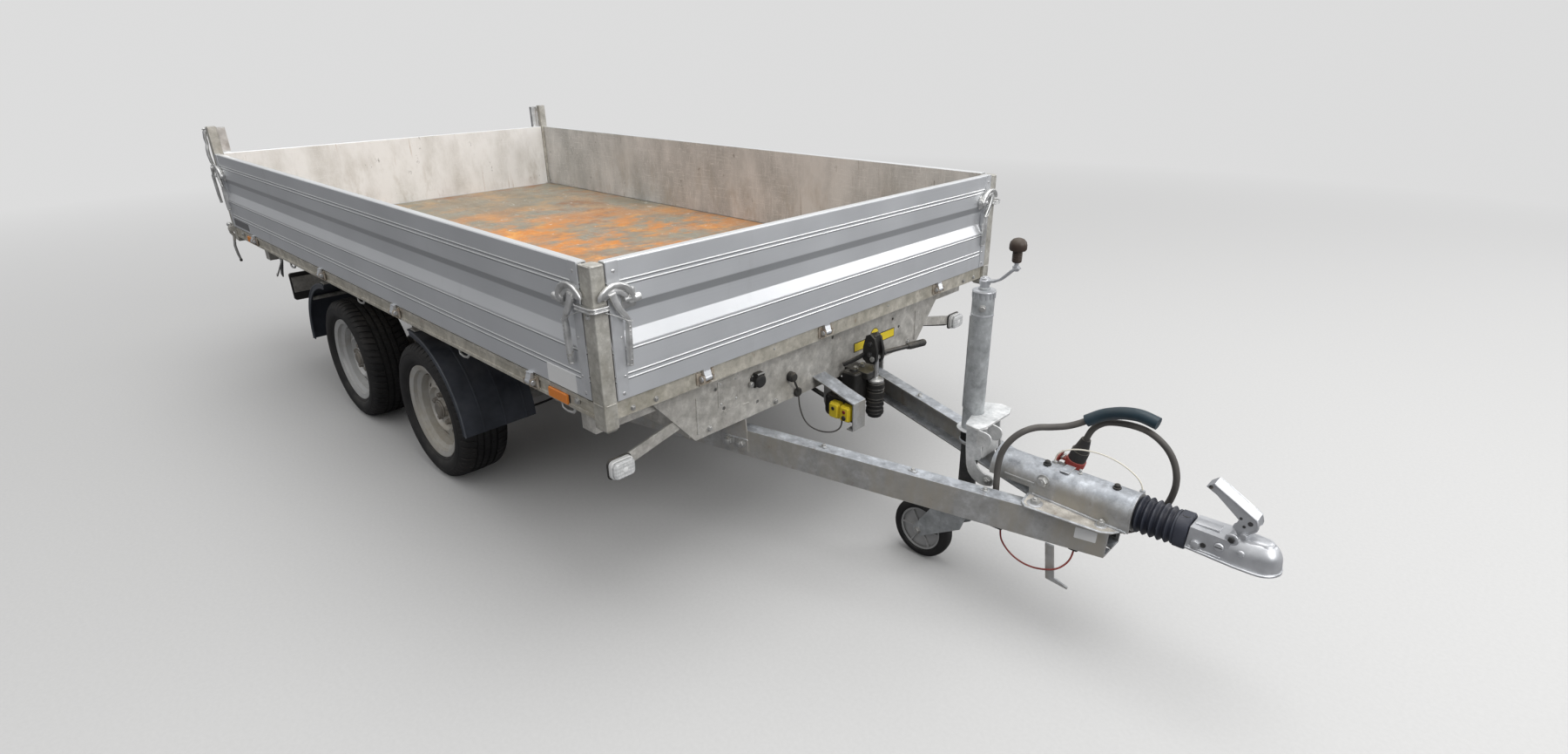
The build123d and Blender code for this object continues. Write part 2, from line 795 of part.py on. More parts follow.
with BuildPart() as overrun_housing:
    with BuildSketch(Plane((housing_start, 0, overrun_axis_z), (0, 1, 0), (1, 0, 0))):
        Circle(overrun_r)
        with Locations((0, -35)):
            Rectangle(2 * overrun_r, 70)
        Circle(overrun_r - overrun_wall, mode=Mode.SUBTRACT)
        with Locations((0, -38)):
            Rectangle(2 * (overrun_r - overrun_wall), 76, mode=Mode.SUBTRACT)
    extrude(amount=overrun_length)
    # Front bearing block round the drawtube
    with BuildSketch(Plane((housing_end - 36, 0, overrun_axis_z), (0, 1, 0), (1, 0, 0))):
        Circle(overrun_r - 2)
        with Locations((0, -15)):
            Rectangle(2 * overrun_r - 4, 30)
        Circle(drawtube_r + 1, mode=Mode.SUBTRACT)
    extrude(amount=36)
    # Lower edge: high at the rear, along the flange plates further on
    plates_x = bed_front + overrun_plates_rear
    plate_rise = flange_plate + 0.2
    with BuildSketch(Plane((0, 80, 0), (1, 0, 0), (0, -1, 0))):
        Polygon(
            (housing_start - 5, 300),
            (housing_end + 5, 300),
            (housing_end + 5, arm_top(housing_end + 5) + plate_rise),
            (plates_x, arm_top(plates_x) + plate_rise),
            (plates_x, overrun_low_rear),
            (housing_start - 5, overrun_low_rear),
            align=None,
        )
    extrude(amount=160, mode=Mode.SUBTRACT)
    # Flange plates on top of the arms
    with BuildSketch(arm_plane.offset(0.2)):
        for side in (-1, 1):
            Polygon(
                (707, side * 40),
                (707, side * 58),
                (714, side * 104),
                (731, side * 118),
                (925, side * 88),
                (945, side * 72),
                (960, side * 48),
                (960, side * 40),
                align=None,
            )
    extrude(amount=flange_plate + 0.3)
    # Two small lugs on the arch that hold the thin wire
    for lug_ahead, lug_y, lug_top in ((742, 14, 476.6), (972, 29, 470.4)):
        with BuildSketch(Plane.XY.offset(458)):
            with Locations((bed_front + lug_ahead, lug_y)):
                Rectangle(12, 8)
        extrude(amount=lug_top - 458)
write(overrun_housing.part, "overrun_housing")

with BuildPart() as bellows:
    start = (housing_end + 0.5, 0, overrun_axis_z)
    with BuildSketch(Plane(start, (1, 0, 0), (0, -1, 0))):
        Polygon(
            (0, drawtube_r + 0.5),
            (0, 43),
            (8, 50),
            (16, 41),
            (25, 50),
            (34, 41),
            (43, 49.5),
            (52, 40),
            (61, 49),
            (70, 40),
            (79, 48),
            (87, 40),
            (92, 45),
            (bellows_length, 45),
            (bellows_length, drawtube_r + 0.5),
            align=None,
        )
    revolve(axis=Axis(start, (1, 0, 0)))
write(bellows.part, "bellows")

# Coupling head: drawtube, clamp body, rim and the domed nose with its ball pocket
ball_r = 25.2
nose_x = overall_length / 2
ball_x = nose_x - 46
rim_low = 398
head_start = housing_end + bellows_length + 1
with BuildPart() as coupling_head:
    with BuildSketch(Plane((housing_start + 40, 0, overrun_axis_z), (0, 1, 0), (1, 0, 0))):
        Circle(drawtube_r)
    extrude(amount=head_start + 10 - housing_start - 40)
    # Rim
    with BuildSketch(Plane.XY.offset(rim_low)):
        with BuildLine():
            Line((head_start, -41), (ball_x - 24, -50))
            Line((ball_x - 24, -50), (ball_x, -48))
            ThreePointArc((ball_x, -48), (nose_x, 0), (ball_x, 48))
            Line((ball_x, 48), (ball_x - 24, 50))
            Line((ball_x - 24, 50), (head_start, 41))
            Line((head_start, 41), (head_start, -41))
        make_face()
    extrude(amount=6)
    # Clamp body
    with BuildSketch(Plane.XY.offset(rim_low + 6)):
        with BuildLine():
            Polyline(
                (head_start, -38), (ball_x - 60, -41), (ball_x - 60, 41), (head_start, 38), close=True
            )
        make_face()
    extrude(amount=51, taper=3)
    # Dome over the ball
    with BuildSketch(Plane.XY.offset(rim_low + 6)):
        with BuildLine():
            Line((ball_x - 88, -40), (ball_x - 24, -45))
            Line((ball_x - 24, -45), (ball_x, -42))
            ThreePointArc((ball_x, -42), (nose_x - 4, 0), (ball_x, 42))
            Line((ball_x, 42), (ball_x - 24, 45))
            Line((ball_x - 24, 45), (ball_x - 88, 40))
            Line((ball_x - 88, 40), (ball_x - 88, -40))
        make_face()
    extrude(amount=30, taper=7)
    with BuildSketch(Plane.XY.offset(rim_low + 36)):
        with BuildLine():
            Line((ball_x - 84, -36), (ball_x - 24, -41))
            Line((ball_x - 24, -41), (ball_x - 2, -38))
            ThreePointArc((ball_x - 2, -38), (nose_x - 8, 0), (ball_x - 2, 38))
            Line((ball_x - 2, 38), (ball_x - 24, 41))
            Line((ball_x - 24, 41), (ball_x - 84, 36))
            Line((ball_x - 84, 36), (ball_x - 84, -36))
        make_face()
    extrude(amount=30, taper=32)
    with Locations((ball_x, 0, overrun_axis_z)):
        Sphere(ball_r, mode=Mode.SUBTRACT)
    with BuildSketch(Plane.XY.offset(rim_low - 4)):
        with Locations((ball_x, 0)):
            Circle(ball_r)
    extrude(amount=overrun_axis_z - rim_low + 4, mode=Mode.SUBTRACT)
write(coupling_head.part, "coupling_head")

# Release lever standing on the coupling head: a folded channel
lever_half = 20
with BuildPart() as coupling_lever:
    with BuildSketch(Plane((0, lever_half, 0), (1, 0, 0), (0, -1, 0))):
        Polygon(
            (nose_x - 89, 464.1),
            (nose_x - 67, 492),
            (nose_x - 64, 502),
            (nose_x - 69, 520),
            (nose_x - 170, 578),
            (nose_x - 186, 564),
            (nose_x - 161, 551),
            (nose_x - 106, 507),
            (nose_x - 112, 484),
            (nose_x - 98, 464.1),
            align=None,
        )
    extrude(amount=2 * lever_half)
    with BuildSketch(Plane((0, lever_half - 4, 0), (1, 0, 0), (0, -1, 0))):
        Polygon(
            (nose_x - 94, 450),
            (nose_x - 71, 494),
            (nose_x - 74, 517),
            (nose_x - 171, 573),
            (nose_x - 190, 560),
            (nose_x - 161, 540),
            (nose_x - 120, 507),
            (nose_x - 120, 460),
            align=None,
        )
    extrude(amount=2 * lever_half - 8, mode=Mode.SUBTRACT)
write(coupling_lever.part, "coupling_lever")

# Jack bracket on the rear end of the housing: clamp round the tube, cover plate and ears
clamp_r = jack_tube_r + 9
clamp_low = 462
clamp_top = 545
with BuildPart() as jack_bracket:
    with BuildSketch(Plane.XY.offset(clamp_low)):
        with Locations((jack_x, 0)):
            Circle(clamp_r)
        with Locations((jack_x + 48, 0)):
            Rectangle(94, 70)
        with Locations((jack_x + 64, 0)):
            Rectangle(66, 54, mode=Mode.SUBTRACT)
        with Locations((jack_x, 0)):
            Circle(jack_tube_r, mode=Mode.SUBTRACT)
    extrude(amount=clamp_top - clamp_low)
    with BuildSketch(Plane.XY.offset(clamp_top)):
        with Locations((jack_x + 47, 0)):
            RectangleRounded(110, 96, 12)
        with Locations((jack_x, 0)):
            Circle(jack_tube_r, mode=Mode.SUBTRACT)
    extrude(amount=7)
    # Side ears that straddle the housing
    for side in (-1, 1):
        with BuildSketch(Plane((0, side * (overrun_r + 0.3), 0), (1, 0, 0), (0, side, 0))):
            up = -side
            with BuildLine():
                Polyline(
                    (jack_x + 52, up * clamp_top),
                    (jack_x + 52, up * 420),
                    (jack_x + 66, up * 378),
                    (jack_x + 96, up * 366),
                    (jack_x + 134, up * 380),
                    (jack_x + 134, up * 440),
                    (jack_x + 102, up * clamp_top),
                    close=True,
                )
            make_face()
        extrude(amount=7)
    with BuildSketch(Plane.XY.offset(clamp_low)):
        for side in (-1, 1):
            with Locations((jack_x + 73, side * 46)):
                Rectangle(40, 22.6)
    extrude(amount=clamp_top - clamp_low)
write(jack_bracket.part, "jack_bracket")

with BuildPart() as jack_tube:
    with BuildSketch(Plane.XY.offset(jack_tube_low)):
        with Locations((jack_x, 0)):
            Circle(jack_tube_r)
            Circle(jack_tube_r - jack_wall, mode=Mode.SUBTRACT)
    extrude(amount=jack_top - jack_tube_low)
    with BuildSketch(Plane.XY.offset(jack_top)):
        with Locations((jack_x, 0)):
            Circle(jack_tube_r + 1.5)
    extrude(amount=7)
    with BuildSketch(Plane.XY.offset(jack_top + 7)):
        with Locations((jack_x, 0)):
            Circle(16)
    extrude(amount=8)
    chamfer(jack_tube.edges().group_by(Axis.Z)[-1], 3)
write(jack_tube.part, "jack_tube")

crank_reach = 84
with BuildPart() as jack_crank:
    crank_low = jack_top + 15
    with BuildSketch(Plane.XY.offset(crank_low)):
        with Locations((jack_x, 0)):
            Circle(13)
    extrude(amount=26)
    with BuildLine() as crank_line:
        Polyline(
            (jack_x, 0, crank_low + 16),
            (jack_x + 40, 0, crank_low + 26),
            (jack_x + crank_reach, 0, crank_low + 66),
        )
    with BuildSketch(Plane((jack_x, 0, crank_low + 16), (0, 1, 0), (40, 0, 10))):
        Rectangle(16, 8)
    sweep(transition=Transition.RIGHT)
    with BuildSketch(Plane.XY.offset(crank_low + 62)):
        with Locations((jack_x + crank_reach, 0)):
            Circle(11)
    extrude(amount=80)
    fillet(jack_crank.edges().group_by(Axis.Z)[-1], 5)
write(jack_crank.part, "jack_crank")

inner_low = 221.5
inner_top = 640
inner_r = jack_tube_r - jack_wall - jack_play
stem_r = 20.6
with BuildPart() as jack_inner:
    with BuildSketch(Plane.XY.offset(inner_low)):
        with Locations((jack_x, 0)):
            Circle(inner_r)
            Circle(stem_r + 0.4, mode=Mode.SUBTRACT)
    extrude(amount=inner_top - inner_low)
write(jack_inner.part, "jack_inner")

fork_half = jack_wheel_width / 2 + 4
fork_wall = 4
jack_wheel_x = jack_x - jack_trail
with BuildPart() as jack_fork:
    with BuildSketch(Plane.XY.offset(215)):
        with Locations((jack_x - 32, 0)):
            RectangleRounded(118, 2 * (fork_half + fork_wall), 8)
    extrude(amount=6)
    with BuildSketch(Plane.XY.offset(221)):
        with Locations((jack_x, 0)):
            Circle(stem_r)
    extrude(amount=60)
    for side in (-1, 1):
        with BuildSketch(Plane((0, side * fork_half, 0), (1, 0, 0), (0, side, 0))):
            up = -side
            with BuildLine():
                Polyline(
                    (jack_wheel_x - 14, up * (jack_wheel_r - 12)),
                    (jack_wheel_x + 10, up * (jack_wheel_r - 17)),
                    (jack_x + 8, up * 168),
                    (jack_x + 24, up * 217),
                    (jack_x - 86, up * 217),
                    (jack_wheel_x - 17, up * (jack_wheel_r + 10)),
                    close=True,
                )
            make_face()
        extrude(amount=fork_wall)
    with BuildSketch(Plane((jack_wheel_x, -fork_half - fork_wall - 5, jack_wheel_r), (1, 0, 0), (0, -1, 0))):
        Circle(8)
    extrude(amount=-2 * (fork_half + fork_wall + 5))
write(jack_fork.part, "jack_fork")

with BuildPart() as jack_wheel:
    half = jack_wheel_width / 2
    with BuildSketch(Plane((jack_wheel_x, 0, jack_wheel_r), (0, 1, 0), (1, 0, 0))):
        with BuildLine():
            Polyline(
                (-half - 2, 8.3),
                (-half - 2, 20),
                (-10, 22),
                (-10, 62),
                (-half + 3, 76),
                (-half, 84),
                (-half + 5, 97),
                (-half + 14, jack_wheel_r),
                (half - 14, jack_wheel_r),
                (half - 5, 97),
                (half, 84),
                (half - 3, 76),
                (10, 62),
                (10, 22),
                (half + 2, 20),
                (half + 2, 8.3),
                close=True,
            )
        make_face()
    revolve(axis=Axis((jack_wheel_x, 0, jack_wheel_r), (0, 1, 0)))
write(jack_wheel.part, "jack_wheel")

# Axles: a square tube, trailing arms, backing plates and stubs for each pair of wheels
arm_inner_y = 590
arm_thick = 24
back_plate_y = 640
stub_end_y = 742
with BuildPart() as axles:
    for axle in wheel_xs:
        tube_x = axle + axle_lead
        tube_z = tyre_r + axle_drop
        with BuildSketch(Plane((tube_x, -arm_inner_y, tube_z), (1, 0, 0), (0, -1, 0))):
            Rectangle(axle_tube, axle_tube, rotation=45)
        extrude(amount=-2 * arm_inner_y)
        for side in (-1, 1):
            up = -side
            arm_plane_y = Plane((0, side * arm_inner_y, 0), (1, 0, 0), (0, side, 0))
            with BuildSketch(arm_plane_y):
                with Locations((tube_x, up * tube_z)):
                    Circle(46)
                with Locations((axle, up * tyre_r)):
                    Circle(38)
                with BuildLine():
                    Polyline(
                        (tube_x, up * (tube_z + 46)),
                        (tube_x, up * (tube_z - 46)),
                        (axle, up * (tyre_r - 38)),
                        (axle, up * (tyre_r + 38)),
                        close=True,
                    )
                make_face()
            extrude(amount=arm_thick)
            with BuildSketch(Plane((axle, side * (arm_inner_y + arm_thick), tyre_r), (1, 0, 0), (0, side, 0))):
                Circle(34)
            extrude(amount=back_plate_y - arm_inner_y - arm_thick)
            with BuildSketch(Plane((axle, side * (back_plate_y - 5), tyre_r), (1, 0, 0), (0, side, 0))):
                Circle(126)
            extrude(amount=5)
            with BuildSketch(Plane((axle, side * back_plate_y, tyre_r), (1, 0, 0), (0, side, 0))):
                Circle(stub_r)
            extrude(amount=stub_end_y - back_plate_y)
            # Bracket plates up to the side member
            for plate_y in (side_member_y - 46, side_member_y - 8):
                with BuildSketch(Plane((0, side * plate_y, 0), (1, 0, 0), (0, side, 0))):
                    with BuildLine():
                        Polyline(
                            (tube_x - 90, up * (side_member_top - side_member_height)),
                            (tube_x - 44, up * (tube_z - 18)),
                            (tube_x + 44, up * (tube_z - 18)),
                            (tube_x + 90, up * (side_member_top - side_member_height)),
                            close=True,
                        )
                    make_face()
                extrude(amount=8)
write(axles.part, "axles")

# Wheels: hollow tyre, pressed steel rim with slots, brake drum and hub on the rim's back
tyre_half = tyre_width / 2
rim_half = 76
disc_out = 34


def tyre_section():
    Polygon(
        (-rim_half + 8, rim_r + 0.4),
        (-rim_half + 1.5, rim_flange_r + 2.5),
        (-tyre_half, rim_flange_r + 38),
        (-tyre_half + 4, tyre_r - 22),
        (-tyre_half + 18, tyre_r - 4),
        (-tyre_half + 40, tyre_r),
        (tyre_half - 40, tyre_r),
        (tyre_half - 18, tyre_r - 4),
        (tyre_half - 4, tyre_r - 22),
        (tyre_half, rim_flange_r + 38),
        (rim_half - 1.5, rim_flange_r + 2.5),
        (rim_half - 8, rim_r + 0.4),
        (rim_half - 18, rim_r + 0.4),
        (tyre_half - 16, rim_flange_r + 38),
        (tyre_half - 26, tyre_r - 16),
        (-tyre_half + 26, tyre_r - 16),
        (-tyre_half + 16, rim_flange_r + 38),
        (-rim_half + 18, rim_r + 0.4),
        align=None,
    )


def rim_section():
    # Half section: x outwards along the axle, y the radius
    Polygon(
        (-rim_half - 4, rim_flange_r),
        (-rim_half - 4, rim_flange_r - 4),
        (-rim_half + 2, rim_r - 4),
        (-rim_half + 34, rim_r - 6),
        (-rim_half + 44, rim_r - 22),
        (disc_out - 18, rim_r - 22),
        (disc_out - 8, 120),
        (disc_out + 6, 84),
        (disc_out - 6, 74),
        (disc_out - 6, 34),
        (disc_out - 1, 34),
        (disc_out - 1, 76),
        (disc_out + 12, 86),
        (disc_out - 2, 123),
        (disc_out - 8, rim_r - 22),
        (rim_half - 24, rim_r - 22),
        (rim_half - 14, rim_r - 6),
        (rim_half - 2, rim_r - 4),
        (rim_half + 4, rim_flange_r - 4),
        (rim_half + 4, rim_flange_r),
        (rim_half, rim_flange_r + 1),
        (rim_half - 6, rim_r),
        (rim_half - 16, rim_r - 1),
        (rim_half - 28, rim_r - 17),
        (-rim_half + 48, rim_r - 17),
        (-rim_half + 38, rim_r - 1),
        (-rim_half + 6, rim_r),
        (-rim_half, rim_flange_r + 1),
        align=None,
    )


drum_r = 118
drum_out_y = wheel_y + disc_out - 6
wheels = (
    # name, axle x, side
    ("front_right", wheel_xs[0], -1),
    ("front_left", wheel_xs[0], 1),
    ("rear_right", wheel_xs[1], -1),
    ("rear_left", wheel_xs[1], 1),
)
for wheel_name, axle, side in wheels:
    centre = (axle, side * wheel_y, tyre_r)
    spin = Axis(centre, (0, 1, 0))
    section_plane = Plane(centre, (0, side, 0), (side, 0, 0))
    with BuildPart() as tyre:
        with BuildSketch(section_plane):
            tyre_section()
        revolve(axis=spin)
    write(tyre.part, f"tyre_{wheel_name}")
    with BuildPart() as rim:
        with BuildSketch(section_plane):
            rim_section()
        revolve(axis=spin)
        # Eight slots in the disc
        with BuildSketch(Plane((axle, side * (wheel_y + disc_out - 14), tyre_r), (1, 0, 0), (0, side, 0))):
            with PolarLocations(102, 8):
                SlotOverall(34, 15, rotation=90)
        extrude(amount=40, mode=Mode.SUBTRACT)
    with BuildPart() as drum:
        drum_back = back_plate_y + 2
        with BuildSketch(Plane((axle, side * drum_back, tyre_r), (1, 0, 0), (0, side, 0))):
            Circle(drum_r)
            Circle(stub_r + stub_play, mode=Mode.SUBTRACT)
        extrude(amount=62)
        with BuildSketch(Plane((axle, side * (drum_back + 62), tyre_r), (1, 0, 0), (0, side, 0))):
            Circle(70)
            Circle(stub_r + stub_play, mode=Mode.SUBTRACT)
        extrude(amount=drum_out_y - drum_back - 62)
        # Hub with its dust cap through the disc
        with BuildSketch(Plane((axle, side * drum_out_y, tyre_r), (1, 0, 0), (0, side, 0))):
            Circle(33.5)
        extrude(amount=22)
    write(Compound(rim.part.solids() + drum.part.solids()), f"rim_{wheel_name}")

# Lifting cylinder: barrel with trunnions and three nested stages
barrel_top = 632
stage_radii = (50.5, 38.5, 26.5)
stage_wall = 8
with BuildPart() as cylinder_barrel:
    with BuildSketch(Plane.XY.offset(barrel_low)):
        with Locations((cylinder_x, 0)):
            Circle(barrel_r)
    extrude(amount=barrel_top - barrel_low)
    with BuildSketch(Plane.XY.offset(barrel_low + 14)):
        with Locations((cylinder_x, 0)):
            Circle(stage_radii[0] + stage_play)
    extrude(amount=barrel_top - barrel_low, mode=Mode.SUBTRACT)
    for side in (-1, 1):
        with BuildSketch(Plane((cylinder_x, side * (barrel_r - 5), trunnion_z), (1, 0, 0), (0, side, 0))):
            Circle(18)
        extrude(amount=52)
write(cylinder_barrel.part, "cylinder_barrel")

stage_names = ("cylinder_stage_outer", "cylinder_stage_middle")
for number, stage_name in enumerate(stage_names):
    with BuildPart() as stage:
        low = barrel_low + 16 + 4 * number
        with BuildSketch(Plane.XY.offset(low)):
            with Locations((cylinder_x, 0)):
                Circle(stage_radii[number])
                Circle(stage_radii[number + 1] + stage_play, mode=Mode.SUBTRACT)
        extrude(amount=barrel_top + 3 + 3 * number - low)
    write(stage.part, stage_name)

with BuildPart() as cylinder_rod:
    low = barrel_low + 24
    with BuildSketch(Plane.XY.offset(low)):
        with Locations((cylinder_x, 0)):
            Circle(stage_radii[2])
    extrude(amount=eye_z - 10 - low)
    with BuildSketch(Plane((cylinder_x, -26, eye_z), (1, 0, 0), (0, -1, 0))):
        Circle(21)
    extrude(amount=-52)
    with BuildSketch(Plane((cylinder_x, -cylinder_ear_gap + 1, eye_z), (1, 0, 0), (0, -1, 0))):
        Circle(12)
    extrude(amount=-2 * (cylinder_ear_gap - 1))
write(cylinder_rod.part, "cylinder_rod")

# Lamp carriers: arms behind the front plate and the bar at the rear
front_lamp_y = 820
front_lamp_z = 490
light_bar_x = pivot_x - 10
with BuildPart() as lamp_carriers:
    with BuildSketch(Plane((chassis_front - 6, 0, 0), (0, 1, 0), (1, 0, 0))):
        for side in (-1, 1):
            with BuildLine():
                Polyline(
                    (side * 577, 562),
                    (side * 577, 528),
                    (side * 855, 464),
                    (side * 855, 500),
                    close=True,
                )
            make_face()
    extrude(amount=6)
    with BuildSketch(Plane((light_bar_x, 0, 0), (0, 1, 0), (1, 0, 0))):
        with Locations((0, 395)):
            Rectangle(1470, 80)
        with Locations((-420, 490), (420, 490)):
            Rectangle(60, 130)
    extrude(amount=6)
    with BuildSketch(Plane.XY.offset(side_member_top - 66)):
        with Locations((light_bar_x - 20, -420), (light_bar_x - 20, 420)):
            Rectangle(40, 60)
    extrude(amount=6)
write(lamp_carriers.part, "lamp_carriers")

with BuildPart() as front_lamps:
    with BuildSketch(Plane((chassis_front + 0.2, 0, 0), (0, 1, 0), (1, 0, 0))):
        with Locations((-front_lamp_y, front_lamp_z), (front_lamp_y, front_lamp_z)):
            RectangleRounded(72, 54, 16)
    extrude(amount=30, taper=6)
write(front_lamps.part, "front_lamps")

with BuildPart() as rear_lamps:
    with BuildSketch(Plane((light_bar_x - 0.2, 0, 0), (0, -1, 0), (-1, 0, 0))):
        with Locations((-621, 384), (621, 384)):
            RectangleRounded(240, 144, 12)
    extrude(amount=38, taper=4)
write(rear_lamps.part, "rear_lamps")

# Hand pump on the front plate with its lever
pump_x = bed_front + 10
pump_y = 175
with BuildPart() as hand_pump:
    with BuildSketch(Plane.XY.offset(320)):
        with Locations((pump_x, pump_y)):
            Circle(31)
    extrude(amount=142)
    with BuildSketch(Plane.XY.offset(462)):
        with Locations((pump_x, pump_y)):
            Circle(20)
    extrude(amount=70)
    with BuildSketch(Plane.XY.offset(520)):
        with Locations((pump_x - 8, pump_y)):
            RectangleRounded(60, 46, 8)
    extrude(amount=106, taper=4)
    # Mounting foot back to the front plate
    with BuildSketch(Plane.XY.offset(472)):
        with Locations(((chassis_front + 4 + pump_x) / 2, pump_y - 18)):
            Rectangle(pump_x - chassis_front - 4, 60)
    extrude(amount=24)
    with BuildSketch(Plane.XY.offset(380)):
        with Locations((pump_x - 58, pump_y - 20)):
            Rectangle(66, 120)
    extrude(amount=112)
    # Lever with its grip
    with BuildSketch(Plane((pump_x, pump_y + 15, 548), (1, 0, 0), (0, 0.994, -0.11))):
        Circle(8)
    extrude(amount=290)
    with BuildSketch(Plane((pump_x, pump_y + 15 + 0.994 * 190, 548 - 0.11 * 190), (1, 0, 0), (0, 0.994, -0.11))):
        Circle(12)
    extrude(amount=108)
write(hand_pump.part, "hand_pump")

# Bracket and holder of the hand control
with BuildPart() as control_bracket:
    with BuildSketch(Plane((0, 21, 0), (1, 0, 0), (0, -1, 0))):
        with BuildLine():
            Polyline(
                (chassis_front + 4, 400),
                (chassis_front + 20, 368),
                (bed_front + 82, 366),
                (bed_front + 86, 460),
                (chassis_front + 4, 509),
                close=True,
            )
        make_face()
    extrude(amount=4)
    with BuildSketch(Plane((0, 21, 0), (1, 0, 0), (0, -1, 0))):
        with BuildLine():
            Polyline(
                (chassis_front + 4, 505),
                (bed_front + 82, 456),
                (bed_front + 82, 366),
                (bed_front + 60, 366),
                (bed_front + 60, 362),
                (bed_front + 86, 362),
                (bed_front + 86, 460),
                (chassis_front + 4, 509),
                close=True,
            )
        make_face()
    extrude(amount=62)
write(control_bracket.part, "control_bracket")

with BuildPart() as control_unit:
    with BuildSketch(Plane((0, 16.8, 0), (1, 0, 0), (0, -1, 0))):
        with Locations((bed_front + 10, 415)):
            RectangleRounded(130, 76, 8)
    extrude(amount=34)
    with BuildSketch(Plane((0, -17.2, 0), (1, 0, 0), (0, -1, 0))):
        with Locations((bed_front + 26, 414)):
            RectangleRounded(92, 58, 7)
    extrude(amount=30, taper=8)
write(control_unit.part, "control_unit")

# Black sockets on the front plate
with BuildPart() as plate_sockets:
    face_x = chassis_front + front_plate_thickness
    for socket_y, socket_z, radius, depth in ((-304, 581, 20, 26), (-152, 545, 15, 22)):
        with BuildSketch(Plane((face_x, socket_y, socket_z), (0, 1, 0), (1, 0, 0))):
            Circle(radius)
        extrude(amount=depth)
    # Cap hanging from the second socket by its strap
    with BuildSketch(Plane((face_x, -120, 480), (0, 1, 0), (1, 0, 0))):
        Circle(15)
    extrude(amount=10)
    with BuildSketch(Plane((face_x, 0, 0), (0, 1, 0), (1, 0, 0))):
        with BuildLine():
            Polyline((-150, 540), (-142, 546), (-114, 484), (-122, 478), close=True)
        make_face()
    extrude(amount=4)
with BuildPart() as cord_clips:
    # Gland block under the right arm, where the cable and the thin wire come out
    with BuildSketch(Plane.XY.offset(281)):
        with Locations((bed_front + 636, -86)):
            Rectangle(66, 48)
    extrude(amount=5)
    with BuildSketch(Plane.XY.offset(281)):
        with Locations((bed_front + 854, -54)):
            Rectangle(26, 26)
    extrude(amount=5.9)
    with BuildSketch(Plane.XY.offset(286)):
        with Locations((bed_front + 636, -86)):
            Rectangle(66, 48)
    extrude(amount=9)
    # Clip in the open front end of the left arm, where the plug's lead goes in
    with BuildSketch(Plane.XY.offset(315)):
        Polygon(
            (bed_front + 906, 18),
            (bed_front + 931, 18),
            (bed_front + 930.2, 20.1),
            (bed_front + 920.4, 44.1),
            (bed_front + 919.5, 46.5),
            (bed_front + 906, 50.3),
            align=None,
        )
    extrude(amount=28)
write(Compound(plate_sockets.part.solids() + cord_clips.part.solids()), "sockets_and_glands")

# Red parking socket for the plug, on the left of the housing
socket_low = (bed_front + 763, 80, 424)
socket_dir = Vector(19, 0, 73).normalized()
with BuildPart() as parking_socket:
    with BuildSketch(Plane(socket_low, (0, 1, 0), tuple(socket_dir))):
        Circle(27)
    extrude(amount=46)
    with BuildSketch(Plane((bed_front + 762, overrun_r + 0.2, 432), (1, 0, 0), (0, 1, 0))):
        Rectangle(34, 40)
    extrude(amount=16)
write(parking_socket.part, "parking_socket")

plug_low = Vector(*socket_low) + socket_dir * 46.2
with BuildPart() as plug:
    with BuildSketch(Plane(tuple(plug_low), (0, 1, 0), tuple(socket_dir))):
        Circle(24)
    extrude(amount=30)
    with BuildSketch(Plane(tuple(plug_low + socket_dir * 30), (0, 1, 0), tuple(socket_dir))):
        Circle(21)
    with BuildSketch(Plane(tuple(plug_low + socket_dir * 68), (0, 1, 0), tuple(socket_dir))):
        Circle(13)
    loft()
write(plug.part, "plug")

plug_top = plug_low + socket_dir * 68.2

# Free cords: the route of each, ahead of the front of the bed, in order from where it leaves
main_cable = (
    (624, -72, 295.2),
    (623, -72, 346),
    (621, -72, 398),
    (619, -71, 448),
    (623, -66, 493),
    (637, -51, 528),
    (658, -29, 553),
    (685, -2, 566),
    (721, 25, 567),
    (763, 53, 576),
    (792, 61, 597),
)
sleeve_route = (
    (792, 61, 597),
    (828, 71, 623),
    (876, 68, 645),
    (925, 63, 655),
    (970, 60, 647),
)
plug_lead = (
    (plug_top.X - bed_front, plug_top.Y, plug_top.Z),
    (798, 80, 560),
    (814, 85, 582),
    (836, 89, 597),
    (873, 82, 609),
    (910, 70, 618),
    (946, 63, 619),
    (980, 61, 606),
    (1010, 63, 579),
    (1029, 67, 540),
    (1036, 72, 496),
    (1030, 76, 450),
    (1016, 79, 407),
    (995, 74, 368),
    (970, 58, 343),
    (948, 42, 331),
    (926, 33, 329),
)
breakaway_wire = (
    (742, 14, 477),
    (742, 14, 494),
    (757, 16, 512),
    (786, 20, 526),
    (824, 25, 533),
    (866, 29, 533),
    (908, 31, 524),
    (942, 31, 508),
    (966, 30, 490),
    (972, 29, 470.8),
)
red_wire = (
    (662, -100, 280.7),
    (662, -100, 256),
    (677, -101, 233),
    (702, -102, 214),
    (733, -103, 204),
    (766, -104, 204),
    (799, -103, 212),
    (832, -99, 226),
    (849, -80, 242),
    (854, -60, 258),
    (854, -56, 280.4),
)
control_lead = (
    (30, -30, 386.6),
    (30, -30, 364),
    (22, -40, 347),
    (3, -52, 337),
    (-25, -64, 334),
    (-52, -76, 340),
    (-72, -88, 356),
    (-84, -96, 380),
    (-92, -100, 408),
    (-98, -101, 436),
    (-98, -101, 464.8),
)
cords = (
    # name, diameter, route
    ("main_cable", 18, main_cable),
    ("plug_lead", 17, plug_lead),
    ("breakaway_wire", 4, breakaway_wire),
    ("red_wire", 5, red_wire),
    ("control_lead", 5, control_lead),
)


def corner_radii(route):
    points = [Vector(*point) for point in route]
    radii = []
    for before, corner, after in zip(points, points[1:], points[2:]):
        first = corner - before
        second = after - corner
        turn = radians(first.get_angle(second))
        radii.append(0.45 * min(first.length, second.length) / tan(turn / 2))
    return radii


